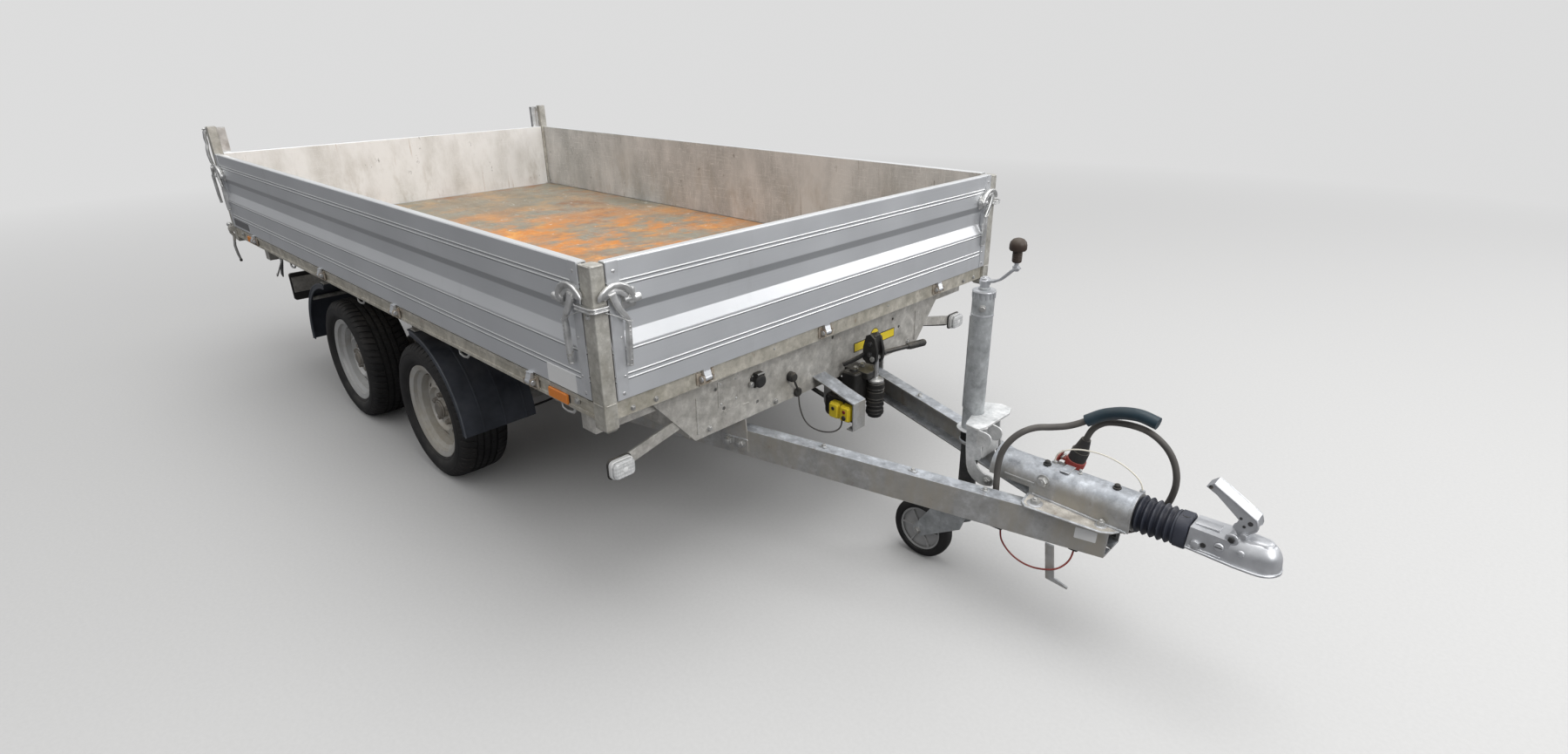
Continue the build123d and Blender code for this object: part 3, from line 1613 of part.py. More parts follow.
def placed(route):
    return tuple((bed_front + ahead, side, height) for ahead, side, height in route)


def cord_tube(name, diameter, route):
    radii = corner_radii(route)
    with BuildPart() as tube:
        with BuildLine() as path:
            FilletPolyline(*route, radius=radii)
        first = Vector(*route[1]) - Vector(*route[0])
        with BuildSketch(Plane(route[0], z_dir=first)):
            Circle(diameter / 2)
        run = path.wires()[0]
        sweep(path=run)
    ideal = 3.14159265 * diameter * diameter / 4 * run.length
    print(name, "length", round(run.length, 1), "radii", [round(r) for r in radii])
    print("  volume over section times length", round(tube.part.volume / ideal, 4))
    write(tube.part, name)


for cord_name, cord_diameter, cord_route in cords:
    cord_tube(cord_name, cord_diameter, placed(cord_route))

with BuildPart() as cable_sleeve:
    with BuildLine() as sleeve_path:
        FilletPolyline(*placed(sleeve_route), radius=corner_radii(sleeve_route))
    sleeve_first = Vector(*sleeve_route[1]) - Vector(*sleeve_route[0])
    with BuildSketch(Plane(placed(sleeve_route)[0], z_dir=sleeve_first)):
        Circle(16.5)
    sweep(path=sleeve_path.wires()[0])
write(cable_sleeve.part, "cable_sleeve")
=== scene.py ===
import math
import random

import bmesh
import bpy
from mathutils import Matrix, Vector


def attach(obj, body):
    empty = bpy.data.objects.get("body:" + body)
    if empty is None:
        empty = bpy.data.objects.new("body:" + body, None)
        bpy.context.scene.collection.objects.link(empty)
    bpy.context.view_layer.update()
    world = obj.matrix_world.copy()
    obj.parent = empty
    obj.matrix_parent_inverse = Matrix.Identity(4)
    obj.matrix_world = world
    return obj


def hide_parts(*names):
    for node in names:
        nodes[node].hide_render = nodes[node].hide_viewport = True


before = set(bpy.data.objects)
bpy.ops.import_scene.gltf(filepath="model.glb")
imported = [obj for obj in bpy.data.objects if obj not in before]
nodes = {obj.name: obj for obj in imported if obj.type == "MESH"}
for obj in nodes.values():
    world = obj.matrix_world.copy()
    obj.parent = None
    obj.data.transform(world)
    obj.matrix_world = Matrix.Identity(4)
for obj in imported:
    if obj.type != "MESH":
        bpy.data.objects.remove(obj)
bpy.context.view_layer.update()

X, Y, Z = (1, 0, 0), (0, 1, 0), (0, 0, 1)
BACK, DOWN = (-1, 0, 0), (0, 0, -1)


# Shader building

class Graph:
    """A shader's nodes, with short ways to make those that are used here."""

    def __init__(self, tree):
        self.tree = tree

    def feed(self, socket, value):
        if isinstance(value, bpy.types.NodeSocket):
            self.tree.links.new(value, socket)
        else:
            socket.default_value = value

    def add(self, kind, inputs=None, **settings):
        """Adds a node, sets its fields, and fills or links its inputs by name or number."""
        made = self.tree.nodes.new(kind)
        for field, value in settings.items():
            setattr(made, field, value)
        for socket, value in (inputs or {}).items():
            self.feed(made.inputs[socket], value)
        return made

    def maths(self, operation, first, second=0.0, clamp=False):
        return self.add("ShaderNodeMath", {0: first, 1: second}, operation=operation, use_clamp=clamp).outputs[0]

    def times(self, first, second, clamp=False):
        return self.maths("MULTIPLY", first, second, clamp)

    def plus(self, first, second, clamp=False):
        return self.maths("ADD", first, second, clamp)

    def minus(self, first, second):
        return self.maths("SUBTRACT", first, second)

    def unsigned(self, value):
        return self.maths("ABSOLUTE", value)

    def ramp(self, value, low, high, bottom=0.0, top=1.0):
        """A value mapped from low..high to bottom..top, clamped."""
        inputs = {0: value, 1: low, 2: high, 3: bottom, 4: top}
        return self.add("ShaderNodeMapRange", inputs, clamp=True).outputs[0]

    def mix(self, share, under, over):
        """One colour over another; each is a socket, or its red, green and blue."""
        colours = [c if isinstance(c, bpy.types.NodeSocket) else (*c, 1.0) for c in (under, over)]
        return self.add("ShaderNodeMix", {0: share, 6: colours[0], 7: colours[1]}, data_type="RGBA").outputs[2]

    def here(self, kind="Object"):
        return self.add("ShaderNodeTexCoord").outputs[kind]

    def parts(self, vector):
        return self.add("ShaderNodeSeparateXYZ", {0: vector}).outputs

    def noise(self, scale, detail=4.0, roughness=0.5, stretch=None, place=None):
        place = place or self.here()
        if stretch:
            place = self.add("ShaderNodeMapping", {"Vector": place, "Scale": stretch}).outputs[0]
        inputs = {"Vector": place, "Scale": scale, "Detail": detail, "Roughness": roughness}
        return self.add("ShaderNodeTexNoise", inputs).outputs["Fac"]

    def effect(self, made, **inputs):
        return self.add("ShaderNodeGroup", inputs, node_tree=made).outputs[0]

    def patches(self, scale, cover, softness, stretch=(1, 1, 1)):
        return self.effect(BLOTCH, Scale=scale, Cover=cover, Softness=softness, Stretch=stretch)

    def dust(self, scale, amount, sides):
        return self.effect(SETTLE, Scale=scale, Amount=amount, Sides=sides)


def group(name, build, **inputs):
    """A node group with one output, which build makes from the group's inputs."""
    made = bpy.data.node_groups.new(name, "ShaderNodeTree")
    for socket, default in inputs.items():
        kind = "NodeSocketVector" if socket == "Stretch" else "NodeSocketFloat"
        made.interface.new_socket(socket, in_out="INPUT", socket_type=kind).default_value = default
    made.interface.new_socket("Mask", in_out="OUTPUT", socket_type="NodeSocketFloat")
    given = made.nodes.new("NodeGroupInput").outputs
    made.links.new(build(Graph(made), given), made.nodes.new("NodeGroupOutput").inputs["Mask"])
    return made


def ragged(g, given):
    """Soft patches with ragged rims, such as rust, moss and dried mud."""
    place = g.add("ShaderNodeVectorMath", {0: g.here(), 1: given["Stretch"]}, operation="MULTIPLY").outputs[0]
    big = g.noise(given["Scale"], 6.0, 0.62, place=place)
    fine = g.noise(g.times(given["Scale"], 7.3), 4.0, place=place)
    edge = g.minus(0.72, g.times(given["Cover"], 0.45))
    both = g.plus(big, g.times(g.minus(fine, 0.5), 0.28))
    return g.ramp(both, edge, g.plus(edge, given["Softness"]))


def settled(g, given):
    """Dust and grime that lie on upward faces, thicker where a noise says so."""
    level = g.plus(g.ramp(g.parts(g.here("Normal"))[2], 0.15, 0.95), given["Sides"])
    speck = g.ramp(g.noise(given["Scale"], 7.0, 0.6), 0.34, 0.68)
    return g.times(g.times(level, speck), given["Amount"], clamp=True)


def worn(g, given):
    """Worn edges: where a rounded normal turns away from the face's own."""
    rounded = g.add("ShaderNodeBevel", {"Radius": given["Radius"]}, samples=4).outputs[0]
    own = g.add("ShaderNodeNewGeometry").outputs["Normal"]
    turn = g.add("ShaderNodeVectorMath", {0: rounded, 1: own}, operation="DOT_PRODUCT").outputs["Value"]
    speck = g.ramp(g.noise(given["Breakup"], 5.0), 0.38, 0.6)
    return g.times(g.ramp(turn, 0.995, 0.90), speck, clamp=True)


def scratched(g, given):
    """Long fine scratches that cross each other, in some places only."""
    total = 0.0
    for turn, stretch in (((0.3, 0.1, 0.5), (1.0, 26.0, 30.0)), ((0.9, 0.5, 0.2), (24.0, 1.2, 26.0)),
                          ((0.1, 1.2, 0.8), (22.0, 30.0, 1.4))):
        place = g.add("ShaderNodeMapping", {"Vector": g.here(), "Rotation": turn, "Scale": stretch}).outputs[0]
        middle = g.minus(g.noise(given["Scale"], 2.0, place=place), 0.5)
        total = g.maths("MAXIMUM", total, g.ramp(g.unsigned(middle), 0.012, 0.0))
    limit = g.minus(0.8, g.times(given["Density"], 0.5))
    return g.times(total, g.ramp(g.noise(3.1, 3.0), limit, g.plus(limit, 0.12)))


def crystals(g, given):
    """Zinc crystals of hot-dip coating, with a cloudier bloom over them."""
    inputs = {"Vector": g.here(), "Scale": given["Scale"], "Randomness": 1.0}
    grey = g.parts(g.add("ShaderNodeTexVoronoi", inputs).outputs["Color"])[0]
    return g.plus(g.times(g.minus(grey, 0.5), 0.12), g.noise(14.0, 8.0, 0.65))


BLOTCH = group("ragged patches", ragged, Scale=6.0, Cover=0.4, Softness=0.08, Stretch=(1, 1, 1))
SETTLE = group("settled dust", settled, Scale=9.0, Amount=0.5, Sides=0.15)
EDGES = group("worn edges", worn, Radius=0.004, Breakup=40.0)
SCRATCHES = group("scratches", scratched, Scale=5.0, Density=0.5)
SPANGLE = group("zinc crystals", crystals, Scale=90.0)


class Finish(Graph):
    """A material in the making: its Principled shader, and the colour that layers are laid over."""

    def __init__(self, name, inputs):
        self.material = bpy.data.materials.new(name)
        self.material.use_nodes = True
        super().__init__(self.material.node_tree)
        self.shader = self.tree.nodes["Principled BSDF"]
        for socket, value in inputs.items():
            self.set(socket, value)

    def set(self, socket, value):
        self.feed(self.shader.inputs[socket], value)

    def start(self, value, low, high, under, over):
        self.base = self.mix(self.ramp(value, low, high), under, over)

    def lay(self, mask, share, colour):
        """Lays a colour over the base where the mask is."""
        self.base = self.mix(self.times(mask, share), self.base, colour)

    def close(self, rough, height, distance, strength, radius=0.0015):
        """Links colour and roughness, and rounds the CAD's sharp edges under a fine relief."""
        self.set("Base Color", self.base)
        if rough:
            self.set("Roughness", rough)
        relief = {"Height": height, "Distance": distance, "Strength": strength}
        if radius:
            relief["Normal"] = self.add("ShaderNodeBevel", {"Radius": radius}, samples=4).outputs[0]
        self.set("Normal", self.add("ShaderNodeBump", relief).outputs[0])
        return self.material


def galvanised(name, light, dark, moss, rust, dust, metallic=0.55, sides=0.3, foot=None):
    """Weathered hot-dip zinc: crystals, bloom, tan dirt with painted shade on the sides, moss film, rust stains and
    dust on top.
    Below a foot's height it is painted black."""
    f = Finish(name, {"Metallic": metallic})
    shade = f.effect(SPANGLE, Scale=120.0)
    f.start(shade, 0.3, 0.7, dark, light)
    bloom = f.noise(26.0, 7.0, 0.7)
    f.lay(f.ramp(bloom, 0.5, 0.64), 0.7, [min(1.0, 1.4 * c) for c in light])
    f.lay(f.ramp(bloom, 0.47, 0.34), 0.7, [0.62 * c for c in dark])
    sides_dirt_and_shade = f.ramp(f.parts(f.here("Normal"))[2], 0.7, 0.2)
    grime = f.plus(f.patches(6.5, 0.6, 0.4, (1, 1, 0.35)), 0.5, clamp=True)
    # Faces that don't look up turn tan and darker: dirt, and painted shade on the sides
    f.lay(grime, f.times(sides_dirt_and_shade, sides), (0.43, 0.40, 0.345))
    f.lay(f.patches(5.0, moss, 0.3, (1, 1, 0.5)), 0.6, (0.25, 0.225, 0.15))
    f.lay(f.patches(16.0, rust, 0.14, (1, 1, 0.6)), 0.75, (0.22, 0.125, 0.07))
    dirt = f.dust(11.0, dust, 0.05)
    f.lay(dirt, 0.7, (0.35, 0.32, 0.26))
    f.lay(f.effect(EDGES, Radius=0.003), 0.6, (0.74, 0.74, 0.72))
    if foot:
        f.lay(f.ramp(f.parts(f.here())[2], foot + 0.002, foot), 1.0, (0.018, 0.017, 0.016))
    rough = f.plus(f.ramp(shade, 0.2, 0.8, 0.38, 0.56), f.times(dirt, 0.25), clamp=True)
    return f.close(rough, shade, 0.0006, 0.35)


def zinc(name, light, dark, roughness, tarnish, metallic=0.9):
    """Bright plated steel with dull clouds and specks."""
    f = Finish(name, {"Metallic": metallic})
    cloud = f.noise(24.0, 6.0, 0.6)
    f.start(cloud, 0.35, 0.65, dark, light)
    specks = f.patches(38.0, tarnish, 0.12)
    f.lay(specks, 0.7, (0.36, 0.33, 0.28))
    rough = f.plus(f.ramp(cloud, 0.3, 0.7, roughness, roughness + 0.15), f.times(specks, 0.25), clamp=True)
    return f.close(rough, cloud, 0.0004, 0.3, 0.001)


def plastic(name, colour, faded, roughness, dust, grain=400.0, dust_colour=(0.30, 0.27, 0.22)):
    """Moulded plastic with a fine grain, faded patches and dust."""
    f = Finish(name, {"Specular IOR Level": 0.4})
    fade = f.noise(7.0, 5.0, 0.6)
    f.start(fade, 0.3, 0.7, colour, faded)
    f.lay(f.dust(15.0, dust, 0.15), 1.0, dust_colour)
    rough = f.ramp(fade, 0.3, 0.7, roughness, roughness + 0.15)
    return f.close(rough, f.noise(grain, 2.0), 0.0003, 0.25, 0.0012)


def rubber(name, colour, bloom, roughness, dust, ridge_highlight=0.0):
    """Rubber with a grey bloom, dust on top and a painted highlight on its ridges."""
    f = Finish(name, {"Specular IOR Level": 0.35})
    cloud = f.noise(8.0, 6.0, 0.6)
    f.start(cloud, 0.35, 0.75, colour, bloom)
    f.lay(f.dust(18.0, dust, 0.3), 1.0, (0.24, 0.22, 0.19))
    if ridge_highlight:
        # Paler ridges: a painted highlight on the tips of the folds
        ridge = f.ramp(f.add("ShaderNodeNewGeometry").outputs["Pointiness"], 0.535, 0.60)
        f.lay(ridge, ridge_highlight, (0.15, 0.165, 0.20))
    rough = f.ramp(cloud, 0.3, 0.7, roughness, roughness + 0.12)
    return f.close(rough, f.noise(220.0, 2.0), 0.0004, 0.3, None)


def painted_rim(name, light, dirt_cover, dirt_colour):
    """Sprayed silver steel with brake dust and dried mud."""
    f = Finish(name, {"Metallic": 0.35})
    f.start(f.noise(12.0, 5.0), 0.3, 0.7, [0.88 * c for c in light], light)
    mud = f.patches(9.0, dirt_cover, 0.45)
    f.lay(mud, 0.85, dirt_colour)
    f.lay(f.effect(EDGES, Radius=0.003, Breakup=60.0), 0.5, (0.25, 0.17, 0.11))
    return f.close(f.ramp(mud, 0.0, 1.0, 0.4, 0.75), f.noise(90.0), 0.0004, 0.3)


def clear_lens(name):
    """Clear plastic with moulded facets over a pale reflector."""
    f = Finish(name, {"Roughness": 0.12, "Specular IOR Level": 0.6, "Coat Weight": 0.5, "Transmission Weight": 0.25,
                      "IOR": 1.49})
    inputs = {"Vector": f.here(), "Scale": 95.0, "Randomness": 0.25}
    facets = f.add("ShaderNodeTexVoronoi", inputs).outputs["Distance"]
    f.start(facets, 0.1, 0.6, (0.93, 0.93, 0.92), (0.70, 0.71, 0.71))
    return f.close(None, facets, 0.003, 0.7, 0.001)


def board_aluminium(name):
    """Anodised extrusions outside, with painted highlights on the middle band, groove edges and top edge and painted
    shade in the recess and grooves; worn, streaked and scratched in the load space.
    """
    f = Finish(name, {})
    x, y, z = f.parts(f.here())
    cloud = f.noise(3.0, 6.0, 0.55)
    lines = f.noise(60.0, 3.0, stretch=(0.02, 0.02, 6.0))
    f.start(cloud, 0.3, 0.7, (0.68, 0.695, 0.715), (0.74, 0.755, 0.775))
    f.lay(f.ramp(lines, 0.4, 0.7), 0.12, (0.82, 0.83, 0.85))

    def band(low, high, soft):
        return f.times(f.ramp(z, low - soft, low), f.ramp(z, high + soft, high))

    # From outside: painted highlight on the middle band, painted shade in the recess above it, grooves with lines of
    # painted shade and painted highlights on their edges, painted highlight along the top edge
    f.lay(band(0.859, 0.891, 0.006), 0.75, (0.90, 0.91, 0.92))
    f.lay(band(0.941, 0.961, 0.005), 0.6, (0.38, 0.39, 0.40))
    # Each groove: a line of painted shade below, a painted highlight on its edge
    for groove in (0.776, 0.789, 0.850, 1.013, 1.024):
        f.lay(band(groove - 0.0052, groove - 0.0032, 0.001), 0.75, (0.16, 0.165, 0.17))
        f.lay(band(groove - 0.0018, groove + 0.0018, 0.0008), 1.0, (0.94, 0.95, 0.95))
    # Painted highlight along the top edge
    f.lay(f.ramp(z, 1.0712, 1.0722), 1.0, (0.88, 0.89, 0.89))
    f.lay(f.patches(3.0, 0.2, 0.35, (2.0, 2.0, 0.35)), 0.3, (0.32, 0.31, 0.29))
    outer = f.base
    # Inner faces lie inside the load space; the tailgate's is the palest, partly its own streaks and stains and partly
    # painted light where it faces the front
    half_width, front_end, rear_end, tailgate_face = 0.8806, 0.9556, -2.2146, -2.2094
    across = f.maths("LESS_THAN", f.unsigned(y), half_width)
    inside = f.times(across, f.times(f.maths("LESS_THAN", x, front_end), f.maths("GREATER_THAN", x, rear_end)))
    streaks = f.noise(5.0, 8.0, 0.66, stretch=(1.0, 1.0, 0.5))
    drips = f.noise(40.0, 5.0, 0.6, stretch=(1.0, 1.0, 0.045))
    drip = f.times(f.ramp(drips, 0.64, 0.74), f.ramp(streaks, 0.46, 0.56))
    # Paler inner colours for the tailgate: streaks and stains, lightened as painted light
    f.start(streaks, 0.3, 0.55, (0.64, 0.62, 0.58), (0.88, 0.87, 0.85))
    f.lay(drip, 0.7, (0.42, 0.30, 0.20))
    pale = f.base
    f.start(streaks, 0.34, 0.64, (0.44, 0.44, 0.425), (0.72, 0.71, 0.69))
    f.lay(drip, 0.6, (0.27, 0.22, 0.17))
    f.base = f.mix(f.maths("LESS_THAN", x, tailgate_face), f.base, pale)
    f.lay(f.effect(SCRATCHES, Scale=3.0, Density=0.95), 0.7, (0.84, 0.83, 0.81))
    f.lay(f.patches(21.0, 0.12, 0.05, (1, 1, 0.5)), 0.7, (0.17, 0.155, 0.13))
    f.lay(f.patches(7.0, 0.42, 0.2, (1, 1, 0.4)), f.ramp(z, 1.0, 0.74, 0.1, 0.85), (0.44, 0.39, 0.32))
    f.base = f.mix(inside, outer, f.base)
    f.set("Metallic", f.minus(0.72, f.times(inside, 0.45)))
    rough = f.plus(f.ramp(cloud, 0.3, 0.7, 0.34, 0.44), f.times(inside, 0.2))
    return f.close(rough, f.plus(f.times(lines, 0.2), f.times(streaks, inside)), 0.0012, 0.3)


def floor_steel(name):
    """Steel floor sheet: grey-green where it is worn, red-brown and bright orange where it has rusted."""
    f = Finish(name, {"Metallic": 0.1})
    x, y, _ = f.parts(f.here())
    cloud = f.noise(2.2, 8.0, 0.62)
    f.start(cloud, 0.3, 0.7, (0.22, 0.205, 0.155), (0.38, 0.355, 0.29))
    f.lay(f.patches(2.2, 0.56, 0.14), 0.9, (0.29, 0.135, 0.06))
    f.lay(f.patches(4.1, 0.5, 0.16), 0.8, (0.46, 0.31, 0.17))
    orange = f.patches(3.3, 0.6, 0.15, (1.1, 0.8, 1))
    span = f.plus(f.unsigned(f.plus(x, 0.55)), f.times(f.unsigned(y), 0.8))
    middle = f.ramp(span, 1.35, 0.45, 0.08, 1.0)
    f.lay(orange, middle, (0.66, 0.25, 0.045))
    f.lay(f.times(f.patches(7.0, 0.4, 0.2), orange), middle, (0.86, 0.42, 0.09))
    f.lay(f.patches(17.0, 0.13, 0.03), 0.8, (0.74, 0.72, 0.66))
    f.lay(f.effect(SCRATCHES, Scale=2.0, Density=0.8), 0.4, (0.62, 0.58, 0.50))
    return f.close(f.ramp(cloud, 0.3, 0.7, 0.7, 0.5), cloud, 0.003, 0.3)


# Weathered zinc: light and dark tone, then moss, rust, dust, metal and dirt with painted shade on the sides
ZINC_RAIL = galvanised("weathered zinc on rails", (0.57, 0.54, 0.47), (0.41, 0.385, 0.315), 0.42, 0.18, 0.45, 0.3, 0.4)
ZINC_POST = galvanised("weathered zinc on posts", (0.56, 0.55, 0.51), (0.41, 0.395, 0.35), 0.36, 0.12, 0.35, 0.4, 0.35)
ZINC_CHASSIS = galvanised("weathered zinc on the chassis", (0.59, 0.575, 0.54), (0.44, 0.425, 0.395), 0.22, 0.1, 0.4,
                          0.35, 0.35)
ZINC_DRAWBAR = galvanised("grey zinc on the drawbar", (0.51, 0.535, 0.57), (0.34, 0.36, 0.39), 0.2, 0.16, 0.12, 0.45,
                          0.95)
RUSTY_ZINC = galvanised("rusted zinc", (0.40, 0.34, 0.27), (0.26, 0.19, 0.13), 0.2, 0.7, 0.3)
PALE_ZINC = (0.50, 0.52, 0.53), (0.42, 0.44, 0.45), 0.05, 0.02, 0.05, 0.5, 0.08
JACK_TUBE = galvanised("zinc jack tube with a black foot", *PALE_ZINC, foot=0.497)
TUBE_ZINC = galvanised("pale zinc on the jack tube", *PALE_ZINC)
FLANGE_ZINC = galvanised("warm zinc on the flange", (0.58, 0.555, 0.51), (0.42, 0.39, 0.345), 0.1, 0.25, 0.25, 0.3, 0.2)
COVER_ZINC = galvanised("pale zinc on the bracket", (0.76, 0.77, 0.77), (0.62, 0.635, 0.64), 0.08, 0.06, 0.08, 0.3)
PIVOT_RUST = galvanised("brown zinc on hinges", (0.42, 0.36, 0.28), (0.25, 0.18, 0.12), 0.25, 0.35, 0.3, 0.3, 0.4)
# Plated metal: light and dark tone, then roughness, tarnish and metal
BRIGHT_ZINC = zinc("bright zinc plating", (0.66, 0.67, 0.69), (0.54, 0.55, 0.57), 0.32, 0.1, 0.8)
LEVER_ZINC = zinc("lever zinc plating", (0.82, 0.82, 0.81), (0.55, 0.55, 0.54), 0.27, 0.25)
DULL_ZINC = zinc("dull zinc", (0.60, 0.60, 0.585), (0.42, 0.415, 0.40), 0.36, 0.3, 0.8)
BRIGHT_STEEL = zinc("bright steel", (0.70, 0.70, 0.70), (0.58, 0.58, 0.58), 0.22, 0.1)
HUB_STEEL = zinc("dull hub steel", (0.30, 0.28, 0.25), (0.20, 0.18, 0.16), 0.5, 0.5, 0.7)
BLACK_STEEL = zinc("blackened steel", (0.10, 0.10, 0.10), (0.05, 0.05, 0.05), 0.4, 0.3, 0.6)
LEAD = zinc("balance weight lead", (0.36, 0.36, 0.37), (0.28, 0.28, 0.29), 0.5, 0.2, 0.6)
CAP_ALUMINIUM = zinc("pale cap aluminium", (0.70, 0.71, 0.725), (0.62, 0.63, 0.645), 0.4, 0.12, 0.7)
# Rubber: colour and bloom, then roughness and dust
TYRE = rubber("tyre rubber", (0.011, 0.011, 0.012), (0.026, 0.025, 0.025), 0.6, 0.16)
BELLOWS = rubber("bellows rubber", (0.010, 0.012, 0.022), (0.024, 0.028, 0.044), 0.36, 0.08, ridge_highlight=0.6)
COLLAR = rubber("bellows collar rubber", (0.030, 0.034, 0.050), (0.055, 0.060, 0.080), 0.45, 0.1)
CABLE = rubber("grey cable jacket", (0.075, 0.07, 0.066), (0.13, 0.122, 0.112), 0.5, 0.2)
BLACK_RUBBER = rubber("black rubber parts", (0.014, 0.014, 0.014), (0.03, 0.03, 0.03), 0.6, 0.25)
# Plastic and paint: colour and faded colour, then roughness and dust
BLACK_PLASTIC = plastic("black moulded plastic", (0.016, 0.016, 0.017), (0.035, 0.034, 0.033), 0.5, 0.5)
BLACK_PAINT = plastic("black gloss paint", (0.012, 0.012, 0.012), (0.02, 0.02, 0.02), 0.3, 0.3)
SLEEVE = plastic("dark blue sleeve", (0.012, 0.030, 0.044), (0.022, 0.048, 0.066), 0.32, 0.1)
RED = plastic("dull red plastic", (0.22, 0.022, 0.018), (0.34, 0.045, 0.035), 0.45, 0.35)
RED_WIRE = plastic("thin dull red wire", (0.20, 0.03, 0.025), (0.30, 0.06, 0.05), 0.5, 0.2)
PALE_WIRE = plastic("pale wire jacket", (0.78, 0.74, 0.63), (0.86, 0.82, 0.72), 0.4, 0.05)
ORANGE = plastic("orange reflector", (0.75, 0.20, 0.02), (0.8, 0.28, 0.05), 0.25, 0.1)
LAMP_RED = plastic("rear lamp lens", (0.38, 0.01, 0.01), (0.45, 0.03, 0.02), 0.2, 0.15)
LAMP_BODY = plastic("grey lamp body", (0.40, 0.40, 0.40), (0.48, 0.48, 0.47), 0.4, 0.2)
YELLOW = plastic("bright yellow plastic", (0.83, 0.62, 0.02), (0.88, 0.70, 0.06), 0.35, 0.06)
LABEL_WHITE = plastic("blank label", (0.76, 0.76, 0.75), (0.82, 0.82, 0.81), 0.4, 0.05)
DARK_LABEL = plastic("bare dark label", (0.115, 0.115, 0.12), (0.16, 0.16, 0.165), 0.45, 0.2)
KNOB_BROWN = plastic("dark brown knob", (0.030, 0.018, 0.013), (0.055, 0.035, 0.026), 0.4, 0.3)
GUARD = plastic("blue-black mudguard", (0.018, 0.022, 0.031), (0.066, 0.074, 0.092), 0.36, 0.35, 160.0,
                (0.17, 0.175, 0.185))
# Paler plastic for the mudguards' rolled lip: a painted highlight
GUARD_LIP_HIGHLIGHT = plastic("painted_highlight guard lip", (0.075, 0.085, 0.105), (0.15, 0.16, 0.18), 0.4, 0.15)

FINISHES = (
    (board_aluminium("anodised aluminium board"), "side_board_right side_board_left front_board tailgate"),
    (floor_steel("rusted floor sheet"), "floor_plate"),
    (LEVER_ZINC, "tailgate_uprights board_latches_right board_latches_left board_latches_front post_fittings"),
    (ZINC_RAIL, "bed_frame"),
    (ZINC_POST, "corner_posts"),
    (PIVOT_RUST, "hinge_brackets"),
    (ORANGE, "side_markers"),
    (ZINC_CHASSIS, "side_members cross_members front_plate axles lamp_carriers"),
    (ZINC_DRAWBAR, "drawbar_arms drawbar_brackets overrun_housing control_bracket"),
    (GUARD, "mudguards"),
    (BELLOWS, "bellows"),
    (BRIGHT_ZINC, "coupling_head coupling_lever jack_crank"),
    (COVER_ZINC, "jack_bracket"),
    (JACK_TUBE, "jack_tube"),
    (BLACK_STEEL, "jack_inner"),
    (TUBE_ZINC, "jack_fork"),
    (TYRE, "jack_wheel tyre_front_right tyre_front_left tyre_rear_right tyre_rear_left"),
    (painted_rim("front rim paint", (0.56, 0.55, 0.52), 0.8, (0.40, 0.35, 0.27)), "rim_front_right rim_front_left"),
    (painted_rim("rear rim paint", (0.58, 0.58, 0.57), 0.45, (0.36, 0.33, 0.28)), "rim_rear_right rim_rear_left"),
    (BLACK_PAINT, "cylinder_barrel hand_pump"),
    (BRIGHT_STEEL, "cylinder_stage_outer cylinder_stage_middle cylinder_rod"),
    (LAMP_RED, "rear_lamps"),
    (BLACK_PLASTIC, "control_unit sockets_and_glands plug"),
    (RED, "parking_socket"),
    (SLEEVE, "cable_sleeve"),
)
LAMP_CLEAR = clear_lens("clear front lamp")
for finish, names in (*FINISHES, (LAMP_CLEAR, "front_lamps")):
    for name in names.split():
        slots = nodes[name].data.materials
        slots.clear()
        slots.append(finish)


def make_object(name, data):
    made = bpy.data.objects.new(name, data)
    bpy.context.scene.collection.objects.link(made)
    return made


# Camera where the photograph was taken, floor and light

STUDIO_GREY = (0.72, 0.72, 0.72, 1.0)


def aim_camera():
    # Focal length and picture width in pixels, as fitted to the photograph, and the film's width in millimetres
    focal_length, picture_width, film = 903.6, 1800, 36.0
    place = (2.4922, -1.8553, 1.5224)
    yaw, pitch, roll = math.radians(133.71), math.radians(-22.75), math.radians(-0.63)
    ahead = Vector((math.cos(yaw) * math.cos(pitch), math.sin(yaw) * math.cos(pitch), math.sin(pitch)))
    right = Vector((math.sin(yaw), -math.cos(yaw), 0.0))
    up = right.cross(ahead)
    side = right * math.cos(roll) + up * math.sin(roll)
    top = up * math.cos(roll) - right * math.sin(roll)
    lens = bpy.data.cameras.new("camera")
    lens.sensor_width = film
    lens.lens = focal_length / picture_width * film
    lens.clip_start = 0.05
    lens.clip_end = 200.0
    camera = make_object("camera", lens)
    turn = Matrix((side, top, -ahead)).transposed()
    camera.matrix_world = Matrix.Translation(place) @ turn.to_4x4()
    bpy.context.scene.camera = camera


def lay_floor():
    mesh = bpy.data.meshes.new("studio floor")
    shape = bmesh.new()
    bmesh.ops.create_circle(shape, cap_ends=True, segments=96, radius=60.0)
    shape.to_mesh(mesh)
    shape.free()
    floor = make_object("studio floor", mesh)
    floor.location.z = -0.0005
    f = Finish("pale studio floor", {"Roughness": 0.9, "Specular IOR Level": 0.1})
    tone = f.mix(f.ramp(f.noise(90.0, 2.0), 0.3, 0.7), (0.545, 0.543, 0.538), (0.565, 0.563, 0.558))
    seen = f.add("ShaderNodeLightPath").outputs["Is Camera Ray"]
    f.set("Base Color", f.mix(seen, (0.20, 0.20, 0.205), tone))
    far = f.add("ShaderNodeVectorMath", {0: f.here()}, operation="LENGTH").outputs["Value"]
    pale = f.add("ShaderNodeEmission", {"Color": STUDIO_GREY, "Strength": 1.0}).outputs[0]
    share = f.times(f.ramp(far, 3.2, 9.5), seen)
    both = f.add("ShaderNodeMixShader", {0: share, 1: f.shader.outputs[0], 2: pale}).outputs[0]
    f.feed(f.tree.nodes["Material Output"].inputs["Surface"], both)
    mesh.materials.append(f.material)


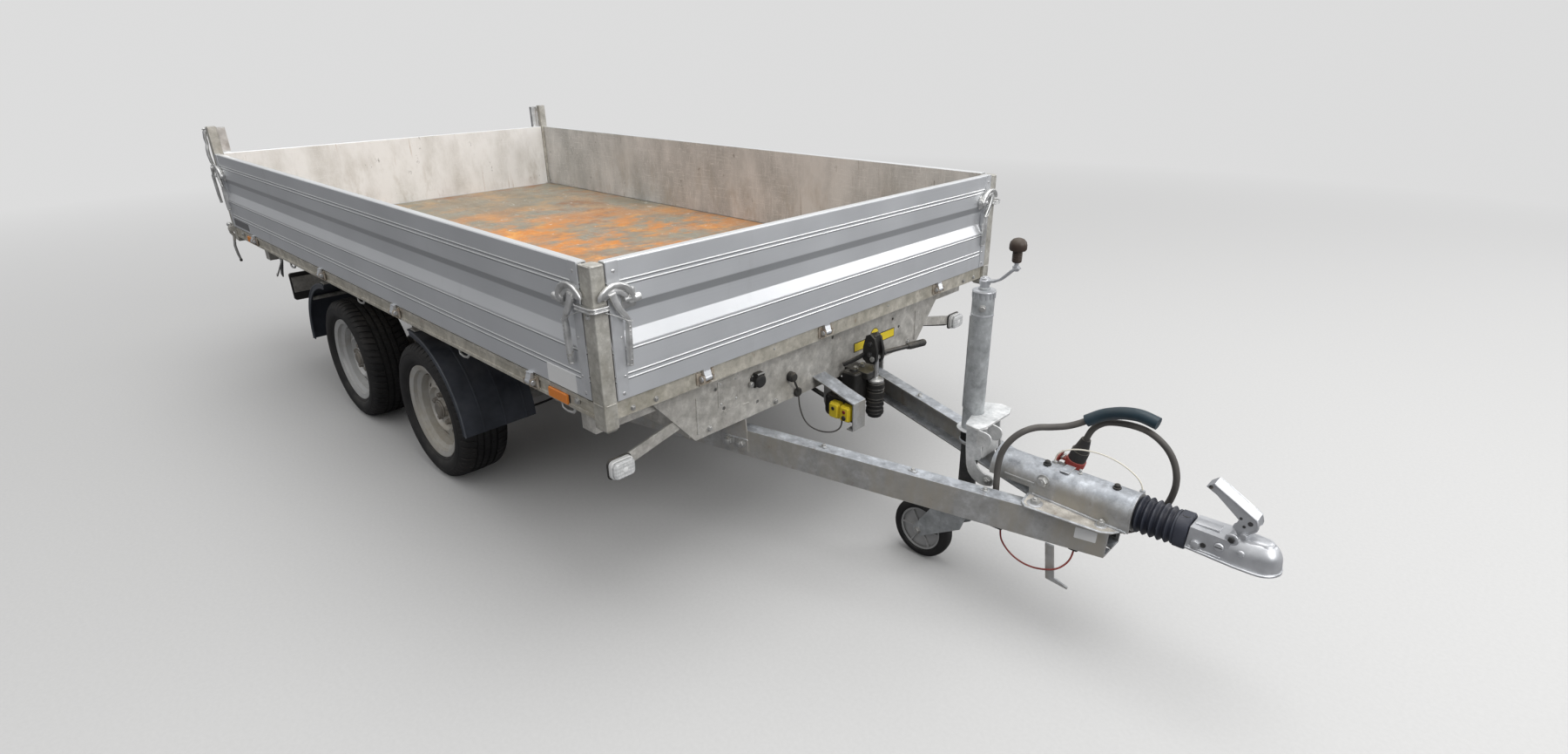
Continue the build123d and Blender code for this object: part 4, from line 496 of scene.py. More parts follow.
def lamp(name, place, size, power):
    light = bpy.data.lights.new(name, "AREA")
    light.shape = "DISK"
    light.size = size
    light.energy = power
    aim = (Vector((0.0, 0.0, 0.6)) - Vector(place)).to_track_quat("-Z", "Y")
    make_object(name, light).matrix_world = Matrix.Translation(place) @ aim.to_matrix().to_4x4()


def light_studio():
    world = bpy.data.worlds.new("studio")
    bpy.context.scene.world = world
    world.use_nodes = True
    world.node_tree.nodes.clear()
    g = Graph(world.node_tree)
    rays = g.add("ShaderNodeLightPath").outputs
    shown = g.maths("MAXIMUM", rays["Is Camera Ray"], rays["Is Transmission Ray"])
    _, y, z = g.parts(g.here("Generated"))
    low = g.mix(g.ramp(y, -0.5, 0.5), (0.27, 0.275, 0.285), (0.50, 0.51, 0.53))
    sky = g.mix(g.ramp(z, 0.25, 0.8), low, (1.0, 1.0, 1.0))
    soft = g.add("ShaderNodeBackground", {"Color": sky, "Strength": 1.0}).outputs[0]
    pale = g.add("ShaderNodeBackground", {"Color": STUDIO_GREY, "Strength": 1.0}).outputs[0]
    both = g.add("ShaderNodeMixShader", {0: shown, 1: soft, 2: pale}).outputs[0]
    g.add("ShaderNodeOutputWorld", {"Surface": both})
    lamp("sky panel", (1.5, 0.5, 7.5), 6.0, 200.0)
    lamp("front panel", (7.0, -0.6, 4.5), 4.0, 185.0)
    lamp("left panel", (5.2, 6.2, 3.6), 3.5, 105.0)


aim_camera()
lay_floor()
light_studio()
bpy.context.scene.view_settings.view_transform = "Standard"


# Free cords: control points as in the part's source, in metres

CORDS = {
    # name: (length, diameter, finish, end, stiffness, piece on it, points)
    "main_cable": (0.449, 0.018, CABLE, "fitting", "medium", ["cable_sleeve"], (
        (1.604, -0.072, 0.2952), (1.603, -0.072, 0.346), (1.601, -0.072, 0.398), (1.599, -0.071, 0.448),
        (1.603, -0.066, 0.493), (1.617, -0.051, 0.528), (1.638, -0.029, 0.553), (1.665, -0.002, 0.566),
        (1.701, 0.025, 0.567), (1.743, 0.053, 0.576), (1.772, 0.061, 0.597))),
    "plug_lead": (0.5865, 0.017, CABLE, "object", "limp", ["plug"], (
        (1.7718, 0.080, 0.5347), (1.778, 0.080, 0.560), (1.794, 0.085, 0.582), (1.816, 0.089, 0.597),
        (1.853, 0.082, 0.609), (1.890, 0.070, 0.618), (1.926, 0.063, 0.619), (1.960, 0.061, 0.606),
        (1.990, 0.063, 0.579), (2.009, 0.067, 0.540), (2.016, 0.072, 0.496), (2.010, 0.076, 0.450),
        (1.996, 0.079, 0.407), (1.975, 0.074, 0.368), (1.950, 0.058, 0.343), (1.928, 0.042, 0.331),
        (1.906, 0.033, 0.329))),
    "breakaway_wire": (0.2826, 0.004, PALE_WIRE, "object", "medium", [], (
        (1.722, 0.014, 0.477), (1.722, 0.014, 0.494), (1.737, 0.016, 0.512), (1.766, 0.020, 0.526),
        (1.804, 0.025, 0.533), (1.846, 0.029, 0.533), (1.888, 0.031, 0.524), (1.922, 0.031, 0.508),
        (1.946, 0.030, 0.490), (1.952, 0.029, 0.4708))),
    "red_wire": (0.2943, 0.005, RED_WIRE, "object", "limp", [], (
        (1.642, -0.100, 0.2807), (1.642, -0.100, 0.256), (1.657, -0.101, 0.233), (1.682, -0.102, 0.214),
        (1.713, -0.103, 0.204), (1.746, -0.104, 0.204), (1.779, -0.103, 0.212), (1.812, -0.099, 0.226),
        (1.829, -0.080, 0.242), (1.834, -0.060, 0.258), (1.834, -0.056, 0.2804))),
    "control_lead": (0.2697, 0.005, CABLE, "object", "limp", [], (
        (1.010, -0.030, 0.3866), (1.010, -0.030, 0.364), (1.002, -0.040, 0.347), (0.983, -0.052, 0.337),
        (0.955, -0.064, 0.334), (0.928, -0.076, 0.340), (0.908, -0.088, 0.356), (0.896, -0.096, 0.380),
        (0.888, -0.100, 0.408), (0.882, -0.101, 0.436), (0.882, -0.101, 0.4648))),
}


def cord_run(name, points, diameter, finish):
    """A round tube along a smooth curve through the control points' hull."""
    curve = bpy.data.curves.new(name, "CURVE")
    curve.dimensions = "3D"
    curve.bevel_depth = diameter / 2
    curve.bevel_resolution = 6
    curve.use_fill_caps = True
    curve.resolution_u = 12
    spline = curve.splines.new("NURBS")
    spline.points.add(len(points) - 1)
    for control, point in zip(spline.points, points):
        control.co = (*point, 1.0)
    spline.order_u = 3
    spline.use_endpoint_u = True
    curve.materials.append(finish)
    return make_object(name, curve)


for name, (length, diameter, finish, end, stiffness, extras, points) in CORDS.items():
    run = cord_run(name + "_run", points, diameter, finish)
    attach(run, "trailer")
    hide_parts(name)


# Shapes in millimetres, in the part's own frame

# Faces that plates are drawn on, each as its right and up; they grow along right x up
TOP, FRONT, REAR = (X, Y), (Y, Z), ((0, -1, 0), Z)
OUTER = {-1: (X, Z), 1: (BACK, Z)}

chance = random.Random(41)


def axes(direction):
    """A direction as a unit vector, with two more that are square to it."""
    ahead = Vector(direction).normalized()
    guide = Vector(Z) if abs(ahead.z) < 0.9 else Vector(X)
    right = guide.cross(ahead).normalized()
    return ahead, right, ahead.cross(right)


def inset(outline, by):
    """An outline with each side moved inwards."""
    if not by:
        return outline
    corners = [Vector(corner) for corner in outline]
    area = sum(a.x * b.y - a.y * b.x for a, b in zip(corners, corners[1:] + corners[:1]))
    side = 1 if area > 0 else -1
    moved = []
    for n, here in enumerate(corners):
        first = (here - corners[n - 1]).normalized()
        second = (corners[(n + 1) % len(corners)] - here).normalized()
        normals = [Vector((-v.y, v.x)) * side for v in (first, second)]
        middle = (normals[0] + normals[1]).normalized()
        moved.append(here + middle * (by / max(0.3, middle.dot(normals[0]))))
    return moved


def around(count):
    return [math.tau * n / count for n in range(count)]


def circle(radius, sides=8):
    return [(radius * math.cos(a), radius * math.sin(a)) for a in around(sides)]


def box(width, height, corner, steps=4):
    """Outline of a box with round corners, about its middle."""
    points = []
    for right, up, first in ((1, 1, 0), (-1, 1, 90), (-1, -1, 180), (1, -1, 270)):
        middle = (right * (width / 2 - corner), up * (height / 2 - corner))
        for step in range(steps + 1):
            angle = math.radians(first + 90 * step / steps)
            points.append((middle[0] + corner * math.cos(angle), middle[1] + corner * math.sin(angle)))
    return points


def arc(radius, first, last, step, x=0, y=0):
    """Points on a circle about x, y from the first to the last of the degrees."""
    angles = [math.radians(degrees) for degrees in range(first, last, step)]
    return [(x + radius * math.cos(a), y + radius * math.sin(a)) for a in angles]


def spoke(angle, right=X, up=Z):
    return Vector(right) * math.cos(angle) + Vector(up) * math.sin(angle)


def flip(side, points):
    """Points of the left side, or the same on the right."""
    return [(x, side * y, z) for x, y, z in points]


def eased(path):
    """A smooth curve through the points of a path."""
    curve = []
    for n in range(len(path) - 1):
        p0, p1, p2, p3 = (Vector(path[max(0, min(len(path) - 1, n + k))]) for k in (-1, 0, 1, 2))
        for t in (step / 6 for step in range(6)):
            curve.append(0.5 * (2 * p1 + (p2 - p0) * t + (2 * p0 - 5 * p1 + 4 * p2 - p3) * t * t
                                + (3 * p1 - p0 - 3 * p2 + p3) * t * t * t))
    return curve + [Vector(path[-1])]


class Shape:
    """Points and faces of a piece; each face carries the number of its finish."""

    def __init__(self):
        self.points, self.faces, self.finishes = [], [], []

    def put(self, points, faces, finish=0):
        first = len(self.points)
        self.points += [tuple(point) for point in points]
        self.faces += [tuple(first + corner for corner in face) for face in faces]
        self.finishes += [finish] * len(faces)

    def loft(self, rings, finish=0, capped=True, joined=False):
        """A skin over rings of equal count; joined carries the last ring on to the first."""
        count = len(rings[0])
        faces = []
        for ring in range(len(rings) if joined else len(rings) - 1):
            low, high = ring * count, (ring + 1) % len(rings) * count
            faces += [(low + n, low + (n + 1) % count, high + (n + 1) % count, high + n) for n in range(count)]
        if capped and not joined:
            faces.append(tuple(reversed(range(count))))
            faces.append(tuple(range((len(rings) - 1) * count, len(rings) * count)))
        self.put([point for ring in rings for point in ring], faces, finish)

    def turned(self, profile, place, direction, finish=0, steps=24, turn=0):
        """A body of revolution from (along, radius) pairs."""
        ahead, right, up = axes(direction)
        place = Vector(place)
        angles = [turn + a for a in around(steps)]
        self.loft([[place + ahead * along + (right * math.cos(a) + up * math.sin(a)) * max(radius, 0.02)
                    for a in angles] for along, radius in profile], finish)

    def hoop(self, section, place, face, finish, steps):
        """A closed section of (along, radius) pairs carried round a face's normal."""
        place, right, up = Vector(place), Vector(face[0]), Vector(face[1])
        along = right.cross(up)
        self.loft([[place + along * level + spoke(a, right, up) * radius for level, radius in section]
                   for a in around(steps)], finish, joined=True)

    def prism(self, outline, place, face, depth, finish=0, chamfer=0):
        """A plate of any outline, given as (right, up) pairs on a face."""
        place, right, up = Vector(place), Vector(face[0]), Vector(face[1])
        out = right.cross(up)
        levels = [(0, 0), (depth - chamfer, 0), (depth, chamfer)] if chamfer else [(0, 0), (depth, 0)]
        self.loft([[place + right * a + up * b + out * level for a, b in inset(outline, by)] for level, by in levels],
                  finish)

    def sweep(self, section, path, up=Z, finish=0, scales=None):
        """A section of (right, up) pairs carried along a path of points."""
        path = [Vector(point) for point in path]
        guide = Vector(up)
        rings = []
        for n, point in enumerate(path):
            ahead = (path[min(n + 1, len(path) - 1)] - path[max(n - 1, 0)]).normalized()
            right = ahead.cross(guide).normalized()
            above = right.cross(ahead)
            scale = scales[n] if scales else 1
            rings.append([point + (right * a + above * b) * scale for a, b in section])
        self.loft(rings, finish)

    def bolt(self, place, direction, across=13, height=7, finish=0, washer=True, stud=0, turn=0.3):
        """A hexagon head with a chamfered top on its washer, or a nut with the end of its bolt."""
        radius = across / 1.732
        low = 0
        if washer:
            low = 1.6
            rim = radius * 1.32
            self.turned([(0, rim), (1.2, rim), (low, radius * 1.24), (low, radius * 0.5)], place, direction, finish)
        top = low + height
        self.turned([(low, radius), (low + height * 0.82, radius), (top, radius * 0.84)], place, direction, finish, 6,
                    turn)
        if stud:
            self.turned([(top, radius * 0.5), (top + stud - 0.8, radius * 0.5), (top + stud, radius * 0.38)], place,
                        direction, finish, 14)

    def dome(self, place, direction, radius, height, finish=0, steps=16):
        shares = ((0, 1), (0.4, 0.92), (0.75, 0.66), (0.95, 0.3), (1, 0))
        self.turned([(height * a, radius * r) for a, r in shares], place, direction, finish, steps)

    def weld(self, start, end, radius=3, finish=0):
        """A welded seam with its ripples."""
        start, end = Vector(start), Vector(end)
        count = max(6, int((end - start).length / 3))
        up = Z if abs((end - start).normalized().z) < 0.9 else X
        path = [start.lerp(end, n / count) for n in range(count + 1)]
        scales = [0.4 if n in (0, count) else chance.uniform(0.82, 1.1) + 0.12 * (n % 2) for n in range(count + 1)]
        self.sweep(circle(radius), path, up, finish, scales)


def piece(name, shape, body, finishes, bevel=0, smooth=35, replaced=None):
    """Makes the object from a shape, in metres, rounds its edges, and hangs it on its body."""
    mesh = bpy.data.meshes.new(name)
    mesh.from_pydata([Vector(point) * 0.001 for point in shape.points], [], shape.faces)
    for finish in finishes:
        mesh.materials.append(finish)
    mesh.polygons.foreach_set("material_index", shape.finishes)
    skin = bmesh.new()
    skin.from_mesh(mesh)
    bmesh.ops.remove_doubles(skin, verts=skin.verts, dist=1e-6)
    bmesh.ops.recalc_face_normals(skin, faces=skin.faces)
    skin.to_mesh(mesh)
    skin.free()
    mesh.shade_smooth()
    mesh.set_sharp_from_angle(angle=math.radians(smooth))
    made = make_object(name, mesh)
    if bevel:
        rounding = made.modifiers.new("rounded edges", "BEVEL")
        rounding.width = bevel * 0.001
        rounding.segments = 2
        rounding.limit_method = "ANGLE"
        rounding.angle_limit = math.radians(32)
        rounding.harden_normals = True
    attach(made, body)
    if replaced:
        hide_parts(replaced)


# Wheels

AXLES = {"front": -330, "rear": -1130}
SIDES = {"right": -1, "left": 1}
TRACK_HALF, HUB_HEIGHT = 747.5, 267
PITCHES = 58
GROOVE_WALL = 0.06
LAND = 0.8

TREAD_HALF = [
    # (along the axle, radius, depth of the cross grooves)
    (0, 266.9, 0), (9, 266.9, 1.5), (10.5, 260.4, 0), (16, 260.4, 0), (17.5, 266.8, 1.5),
    (34, 266.5, 1.5), (35.5, 260.2, 0), (41, 260.2, 0), (42.5, 266, 5.5), (58, 265.3, 5.5),
    (70, 263.6, 5.5), (78.5, 260.6, 5), (85, 254.5, 3.6), (89.5, 248, 2), (92.6, 241, 0),
    (94.6, 234, 0), (95.9, 233.2, 0), (96.2, 231.4, 0), (95.4, 230.4, 0), (97.2, 221, 0),
    (96.6, 212, 0), (93.4, 203, 0), (88, 195.5, 0), (84.5, 192.5, 0), (84.3, 189.5, 0),
    (80.5, 187, 0), (77.5, 182, 0), (72, 176, 0), (67, 168, 0),
]
SHOULDER = 41


def tyre_tread(x, side):
    """A tyre with grooved ribs and shoulder blocks cut across, its pitches uneven as on a real one."""
    section = [(-a, r, cut) for a, r, cut in reversed(TREAD_HALF[1:])] + TREAD_HALF
    rings = []
    for pitch in range(PITCHES):
        land = LAND * (1 + 0.16 * math.sin(pitch * 2.4))
        for part in (0, GROOVE_WALL, land - GROOVE_WALL, land):
            ring = []
            for a, r, cut in section:
                slant = 0.01 * abs(a) if abs(a) > SHOULDER else 0.022 * a
                reach = r - (cut if part in (0, land) else 0)
                angle = math.tau * (pitch + part + slant) / PITCHES
                ring.append((x + reach * math.cos(angle), side * (TRACK_HALF + a),
                             HUB_HEIGHT + reach * math.sin(angle)))
            rings.append(ring)
    shape = Shape()
    shape.loft(rings, joined=True)
    return shape


def wheel_fittings(middle, outward):
    """Wheel bolts, valve and balance weights of one wheel."""
    shape = Shape()
    for n in range(5):
        seat = middle + outward * 32.6 + spoke(math.radians(90 + 72 * n)) * 56
        shape.turned([(0, 13), (2.4, 12.4), (4.5, 10.5)], seat, outward, 0, 20)
        shape.bolt(seat + outward * 3, outward, 17, 13, 0, washer=False, turn=n)
    radial = spoke(2.1)
    shape.turned([(0, 7.5), (3, 7), (5, 4.6), (16, 4.2), (17, 3.2), (22, 3.2), (22.4, 4.2), (30, 4.2), (31, 3.2)],
                 middle + outward * 24 + radial * 136, outward * 0.92 + radial * 0.39, 1, 14)
    for start in (0.5, 3.7):
        path = [middle + outward * 75 + spoke(start + 0.035 * n) * 175 for n in range(6)]
        shape.sweep([(-5, -1.5), (5, -1.5), (5, 1.5), (-5, 1.5)], path, outward, 2)
    return shape


def build_wheels():
    cap = [(44, 34.4), (47.5, 34.4), (49.6, 33.2), (50.4, 30.5), (54.5, 29.5), (57.5, 25.5), (59.2, 15), (59.6, 0)]
    for end, x in AXLES.items():
        for hand, side in SIDES.items():
            body = f"wheel_{end}_{hand}"
            middle, outward = Vector((x, side * TRACK_HALF, HUB_HEIGHT)), Vector((0, side, 0))
            piece(f"tyre_tread_{end}_{hand}", tyre_tread(x, side), body, [TYRE], smooth=28,
                  replaced=f"tyre_{end}_{hand}")
            piece(f"wheel_bolts_{end}_{hand}", wheel_fittings(middle, outward), body,
                  [HUB_STEEL, BLACK_PLASTIC, LEAD], bevel=0.4)
            hub = Shape()
            hub.turned(cap, middle, outward, 0, 36)
            piece(f"hub_cap_{end}_{hand}", hub, "trailer", [HUB_STEEL])


# Boards: end caps, rivets and latches

BOARD_LOW, BOARD_HIGH = 723, 1073
LATCH_HEIGHT = 977


def board_face(along, out):
    """The face of a board's outer side, and -1 where it is seen with along pointing left."""
    sign = 1 if along.cross(Vector(Z)).dot(out) > 0 else -1
    return (along * sign, Z), sign


def end_cap(shape, place, along, out):
    """A cap over the end of a board, seen on its outer face; along points at the nearer post."""
    place, along, out = Vector(place), Vector(along), Vector(out)
    face, sign = board_face(along, out)
    length = BOARD_HIGH - BOARD_LOW
    outline = [(sign * a, b) for a, b in box(35, length - 1, 2, 2)]
    shape.prism(outline, place - along * 18.5 - out * 13 + Vector(Z) * length / 2, face, 14.8, 0, 0.8)
    for height, back, radius in ((325, 20, 5), (16, 20, 5), (160, 27, 3.4), (60, 27, 3.4)):
        shape.dome(place - along * back + out * 1.6 + Vector(Z) * height, out, radius, 2, 1)


def latch(shape, place, along, out):
    """A forged over-centre lever: pin block, bow over the catch plate, handle and its safety wire."""
    place, along, out = Vector(place), Vector(along), Vector(out)
    face, sign = board_face(along, out)

    def at(*points):
        made = [place + along * a + Vector(Z) * b + out * o for a, b, o in points]
        return made if len(made) > 1 else made[0]

    shape.prism([(sign * a, b) for a, b in box(40, 50, 7)], place, face, 3.6, 0, 1)
    pin = at((0, 0, 11))
    shape.turned([(-26, 8.5), (-25, 10.8), (-8, 10.8), (-6, 9), (-5.5, 7), (18, 7), (19, 5.5)], pin, along, 0, 20)
    shape.turned([(-30, 4), (-29, 5.2), (-26, 5.2)], pin, along, 0, 12)
    shape.turned([(0, 13.5), (8, 13), (14, 10)], at((0, 0, 3)), out, 0, 20)
    bow = at((-6, 4, 12), (2, 20, 13), (14, 32, 14), (30, 40, 14), (48, 41, 14), (64, 36, 13), (77, 27, 12),
             (85, 17, 11), (87, 10, 10))
    shape.sweep(box(14, 13, 4, 2), bow, out, 0, (1.1, 1.15, 1.1, 1, 0.95, 0.9, 0.85, 0.75, 0.55))
    inner = at((8, -4, 10), (15, 12, 11), (28, 22, 11), (44, 26, 11), (58, 22, 10), (68, 14, 9), (71, 9, 8))
    shape.sweep(box(13, 9, 3, 2), inner, out, 0, (1.2, 1.1, 1, 0.95, 0.9, 0.8, 0.6))
    web = [(-7, -8), (5, -10), (16, 6), (29, 17), (44, 20), (58, 16), (70, 12), (83, 11), (80, 24), (64, 37), (46, 42),
           (29, 40), (12, 31), (-3, 16)]
    shape.prism([(sign * a, b) for a, b in web], place + out * 1.5, face, 12.5, 0, 2)
    shank = at((52, 22, 12), (47, 4, 13), (36, -18, 14), (21, -38, 14), (13, -54, 14))
    shape.sweep(box(17, 14, 4.5, 2), shank, out, 0, (1.15, 1.1, 0.95, 0.85, 0.8))
    grip = at((13, -52, 13), (14, -60, 12.8), (15, -80, 12.6), (16, -110, 12.4), (17, -140, 12), (17, -163, 11))
    shape.sweep(box(12, 17, 4.5, 3), grip, out, 0, (0.8, 0.95, 1, 1.05, 1.05, 0.95))
    for n in range(9):
        shape.dome(at((14.6 + n * 0.3, -66 - n * 10.5, 20.3 - n * 0.1)), out, 2.8, 1.6, 1, 10)
    shape.turned([(0, 8.5), (3, 8.8), (4.5, 7)], at((17, -162, 11)), DOWN, 0, 16)
    wire = at((70, -22, 4), (60, -26, 9), (40, -36, 15), (20, -50, 20), (8, -54, 20.4), (4, -52, 16))
    shape.sweep(circle(1.5, 6), wire, out)


def build_boards():
    """Caps and latches ride with their boards; the tailgate's stay on the bed."""
    for hand, side in SIDES.items():
        out = (0, side, 0)
        caps, levers = Shape(), Shape()
        for along, end in ((X, 929), (BACK, -2208)):
            end_cap(caps, (end, side * 905, BOARD_LOW), along, out)
            latch(levers, (end - 71 * along[0], side * 905, LATCH_HEIGHT), along, out)
        piece(f"side_board_caps_{hand}", caps, f"{hand}_board", [CAP_ALUMINIUM, BRIGHT_STEEL])
        piece(f"side_board_latches_{hand}", levers, f"{hand}_board", [LEVER_ZINC, DULL_ZINC], smooth=45,
              replaced=f"board_latches_{hand}")
    caps, levers, tail = Shape(), Shape(), Shape()
    for side in (-1, 1):
        along = (0, side, 0)
        end_cap(caps, (980, side * 864, BOARD_LOW), along, X)
        end_cap(tail, (-2239, side * 826, BOARD_LOW), along, BACK)
        latch(levers, (980, side * 808, LATCH_HEIGHT), along, X)
    piece("front_board_caps", caps, "front_board", [CAP_ALUMINIUM, BRIGHT_STEEL])
    piece("front_board_latches", levers, "front_board", [LEVER_ZINC, DULL_ZINC], smooth=45,
          replaced="board_latches_front")
    piece("tailgate_caps", tail, "bed", [CAP_ALUMINIUM, BRIGHT_STEEL])


# Posts, rails and what is bolted to the bed

UPPER_LEVER, LOWER_LEVER = 1173, 705


def tailgate_levers(shape, side):
    """The upper, middle and lower levers at one rear post, each with its pin and bent handle."""
    out = (0, side, 0)
    high, low = UPPER_LEVER, LOWER_LEVER

    def bent(width, depth, corner, steps, scales, finish, *points):
        shape.sweep(box(width, depth, corner, steps), flip(side, points), BACK, finish, scales)

    def turned(profile, place, direction, finish, steps):
        shape.turned(profile, flip(side, [place])[0], direction, finish, steps)

    turned([(0, 13), (3, 13), (4, 10), (24, 9.5), (25, 8)], (-2245, 885.5, high), BACK, 0, 20)
    bent(15, 17, 4, 2, (1.2, 1.25, 1.15, 0.9, 0.8), 0, (-2256, 880, high + 2), (-2260, 896, high + 3),
         (-2262, 908, high - 2), (-2263, 913, high - 30), (-2262, 911, high - 58))
    bent(14, 14, 5, 3, (0.8, 1, 1.05, 1, 0.8), 0, (-2262, 911, high - 54), (-2263, 916, high - 76),
         (-2263, 917, high - 110), (-2263, 914, high - 140), (-2263, 908, high - 160))
    shape.bolt((-2262, side * 903, high + 12), out, 13, 8, 0, stud=4)
    shape.bolt((-2266, side * 885.5, high), BACK, 15, 7, 0, stud=3)
    turned([(0, 6), (18, 5.5), (20, 4)], (-2266, 909, high - 40), BACK, 0, 12)
    # Middle: a block with two pin heads
    shape.prism(box(40, 24, 5), (-2245, side * 903, 997), REAR, 26, 0, 3)
    turned([(-24, 8), (-22, 10), (20, 10), (23, 7)], (-2260, 902, 1001), out, 0, 18)
    bent(13, 15, 4, 2, (1, 1.1, 1.1, 1, 0.9), 0, (-2258, 899, 1008), (-2262, 908, 1016), (-2270, 914, 1012),
         (-2276, 916, 996), (-2276, 917, 974))
    bent(13, 14, 5, 3, (0.8, 1, 1.05, 1, 0.85), 0, (-2276, 918, 978), (-2278, 919.5, 950), (-2279, 919, 915),
         (-2279, 918, 870), (-2279, 916, 838))
    turned([(0, 6.5), (4, 7), (6, 5)], (-2279, 916, 839), DOWN, 0, 14)
    loop = [(-2270, 915, 984), (-2278, 925, 968), (-2281, 925, 950), (-2280, 921, 940)]
    shape.sweep(circle(1.8, 6), flip(side, loop), BACK)
    # Lower: boss, ball, hook and long handle
    turned([(0, 15), (6, 15), (8, 12), (30, 11), (33, 9)], (-2245, 908, low), BACK, 2, 20)
    turned([(-5, 2), (-3, 9), (2, 12.6), (7, 12.6), (12, 9), (14, 2)], (-2272, 910, low + 19), BACK, 0, 18)
    bent(15, 17, 4, 2, (1, 1.15, 1.05, 0.9, 0.75), 2, (-2268, 908, low + 14), (-2270, 914, low),
         (-2270, 912, low - 22), (-2270, 904, low - 40), (-2272, 908, low - 62))
    bent(12, 13, 4.5, 3, (0.9, 1, 1, 0.85), 1, (-2272, 908, low - 58), (-2274, 912, low - 90),
         (-2274, 909, low - 130), (-2273, 903, low - 164))
    turned([(0, 6.5), (8, 7), (12, 5)], (-2273, 903.5, low - 160), DOWN, 3, 14)


def build_posts():
    fittings = Shape()
    bead = [(992, 870), (998, 880)] + arc(16, 0, 91, 15, 982, 907) + [(930, 923), (920, 918)]
    rear = [(-2210, 904.6), (-2210, 918), (-2216, 924), (-2240, 924), (-2245, 918), (-2245, 904.6)]
    for side in (-1, 1):
        def catch_plate(points):
            outline = [(x, side * y) for x, y in points]
            fittings.prism(outline if side > 0 else outline[::-1], (0, 0, 963.5), TOP, 9, 0, 1.2)

        # Plate round the front post, with a rolled bead on its outer edge above and below
        catch_plate([(918, 904.6), (980.4, 904.6), (980.4, 868)] + bead)
        for radius, z in ((2.6, 972.6), (2.2, 964)):
            fittings.sweep(circle(radius), [(x, side * y, z) for x, y in bead])
        fittings.bolt((955, side * 905, 945), (0, side, 0), 10, 5, 0)
        catch_plate(rear)
        tailgate_levers(fittings, side)
    piece("post_levers_and_plates", fittings, "bed", [LEVER_ZINC, DULL_ZINC, ZINC_CHASSIS, BLACK_PLASTIC], smooth=45,
          replaced="post_fittings")

    corners = Shape()
    for side in (-1, 1):
        # Folded cover of the front corner, with the welds that close it above and below
        for first, last, y, edge, z, radius in ((936, 974, 905.4, 980.4, 1066.5, 2.2),
                                                (934, 976, 904.6, 980.2, 719.5, 1.8)):
            corners.weld((first, side * y, z), (last, side * y, z), radius)
            corners.weld((edge, side * 900, z), (edge, side * 870, z), radius)
        corners.prism(box(34, 36, 4), (963.5, side * 885.5, 1067), TOP, 2.4, 0, 0.8)
        corners.prism(box(33, 37, 4), (-2227.5, side * 885.5, 1194.8), TOP, 2.6, 0, 0.8)
        for z in (1160, 780):
            corners.dome((-2229, side * 905, z), (0, side, 0), 5, 2.4)
    piece("post_seams_and_caps", corners, "bed", [ZINC_POST])


SIDE_HINGES = (640, -260, -980, -1880)
FRONT_HINGES = (-574, -74, 559)
HINGE_HEIGHT, HINGE_FOOT = 697, 677
PIN_HEAD = [(0, 7.6), (2.5, 7.8), (3.6, 6.2)]


def build_rails():
    """Pin heads, knuckles, rail bolts, lashing loops and the bare labels."""
    pins, loops, bolts, straps = Shape(), Shape(), Shape(), Shape()
    for side in (-1, 1):
        out, face = (0, side, 0), OUTER[side]
        for x in SIDE_HINGES:
            for end in (-1, 1):
                strap = x + end * 27
                pins.turned(PIN_HEAD, (x + end * 20, side * 914, HINGE_HEIGHT), (end, 0, 0), 0, 16)
                pins.weld((x + end * 17, side * 903.5, 688), (x + end * 17, side * 903.5, 706), 2, 1)
                straps.prism(box(9, 35, 2), (strap, side * 902.5, HINGE_HEIGHT), face, 5, 0, 1)
                straps.dome((strap, side * 907.3, 688), out, 2.6, 1.4, 1, 10)
            straps.prism(box(44, 5, 1.5), (x, side * 902.5, HINGE_FOOT), face, 4.5, 0, 1)
        for x in (857, -2080):
            bolts.bolt((x, side * 902, 701), out, 13, 5, 0)
        for x in (795, 210, -620, -1400):
            rod = ((-30, 893, 672), (-30, 893, 662), (-24, 895, 654), (0, 896, 651), (24, 895, 654), (30, 893, 662),
                   (30, 893, 672))
            loops.sweep(circle(4, 10), [(x + dx, side * y, z) for dx, y, z in rod], Y)
            for end in (-30, 30):
                loops.turned([(0, 7), (3, 6.4), (4, 4.5)], (x + end, side * 893, 671.4), DOWN, 0, 12)
    for y in FRONT_HINGES:
        for end in (-1, 1):
            pins.turned(PIN_HEAD, (980, y + end * 20, HINGE_HEIGHT), (0, end, 0), 0, 16)
            pins.weld((969.5, y + end * 17, 688), (969.5, y + end * 17, 706), 2, 1)
            straps.prism(box(9, 35, 2), (968, y + end * 27, HINGE_HEIGHT), FRONT, 5, 0, 1)
        straps.prism(box(44, 5, 1.5), (968, y, HINGE_FOOT), FRONT, 4.5, 0, 1)
    for y in (-814, -741, 741, 814):
        bolts.bolt((968, y, 686), X, 10, 4, 0)
    for y in (-300, 260):
        bolts.dome((968, y, 700), X, 4, 2.2)
    piece("hinge_pin_heads", pins, "bed", [BRIGHT_ZINC, RUSTY_ZINC])
    piece("hinge_straps", straps, "bed", [PIVOT_RUST, DULL_ZINC])
    piece("lashing_loops", loops, "bed", [DULL_ZINC])
    piece("rail_bolts", bolts, "bed", [DULL_ZINC])

    labels = Shape()
    labels.prism(box(135, 51, 3), (799.5, -905, 748.5), OUTER[-1], 0.7, 0, 0.2)
    labels.prism(box(255, 34, 3, 2), (-2060, -904.8, 751), OUTER[-1], 1, 1, 0.2)
    piece("blank_label", labels, "right_board", [LABEL_WHITE, DARK_LABEL])


# Front plate with what it carries

PLATE_FACE = 890


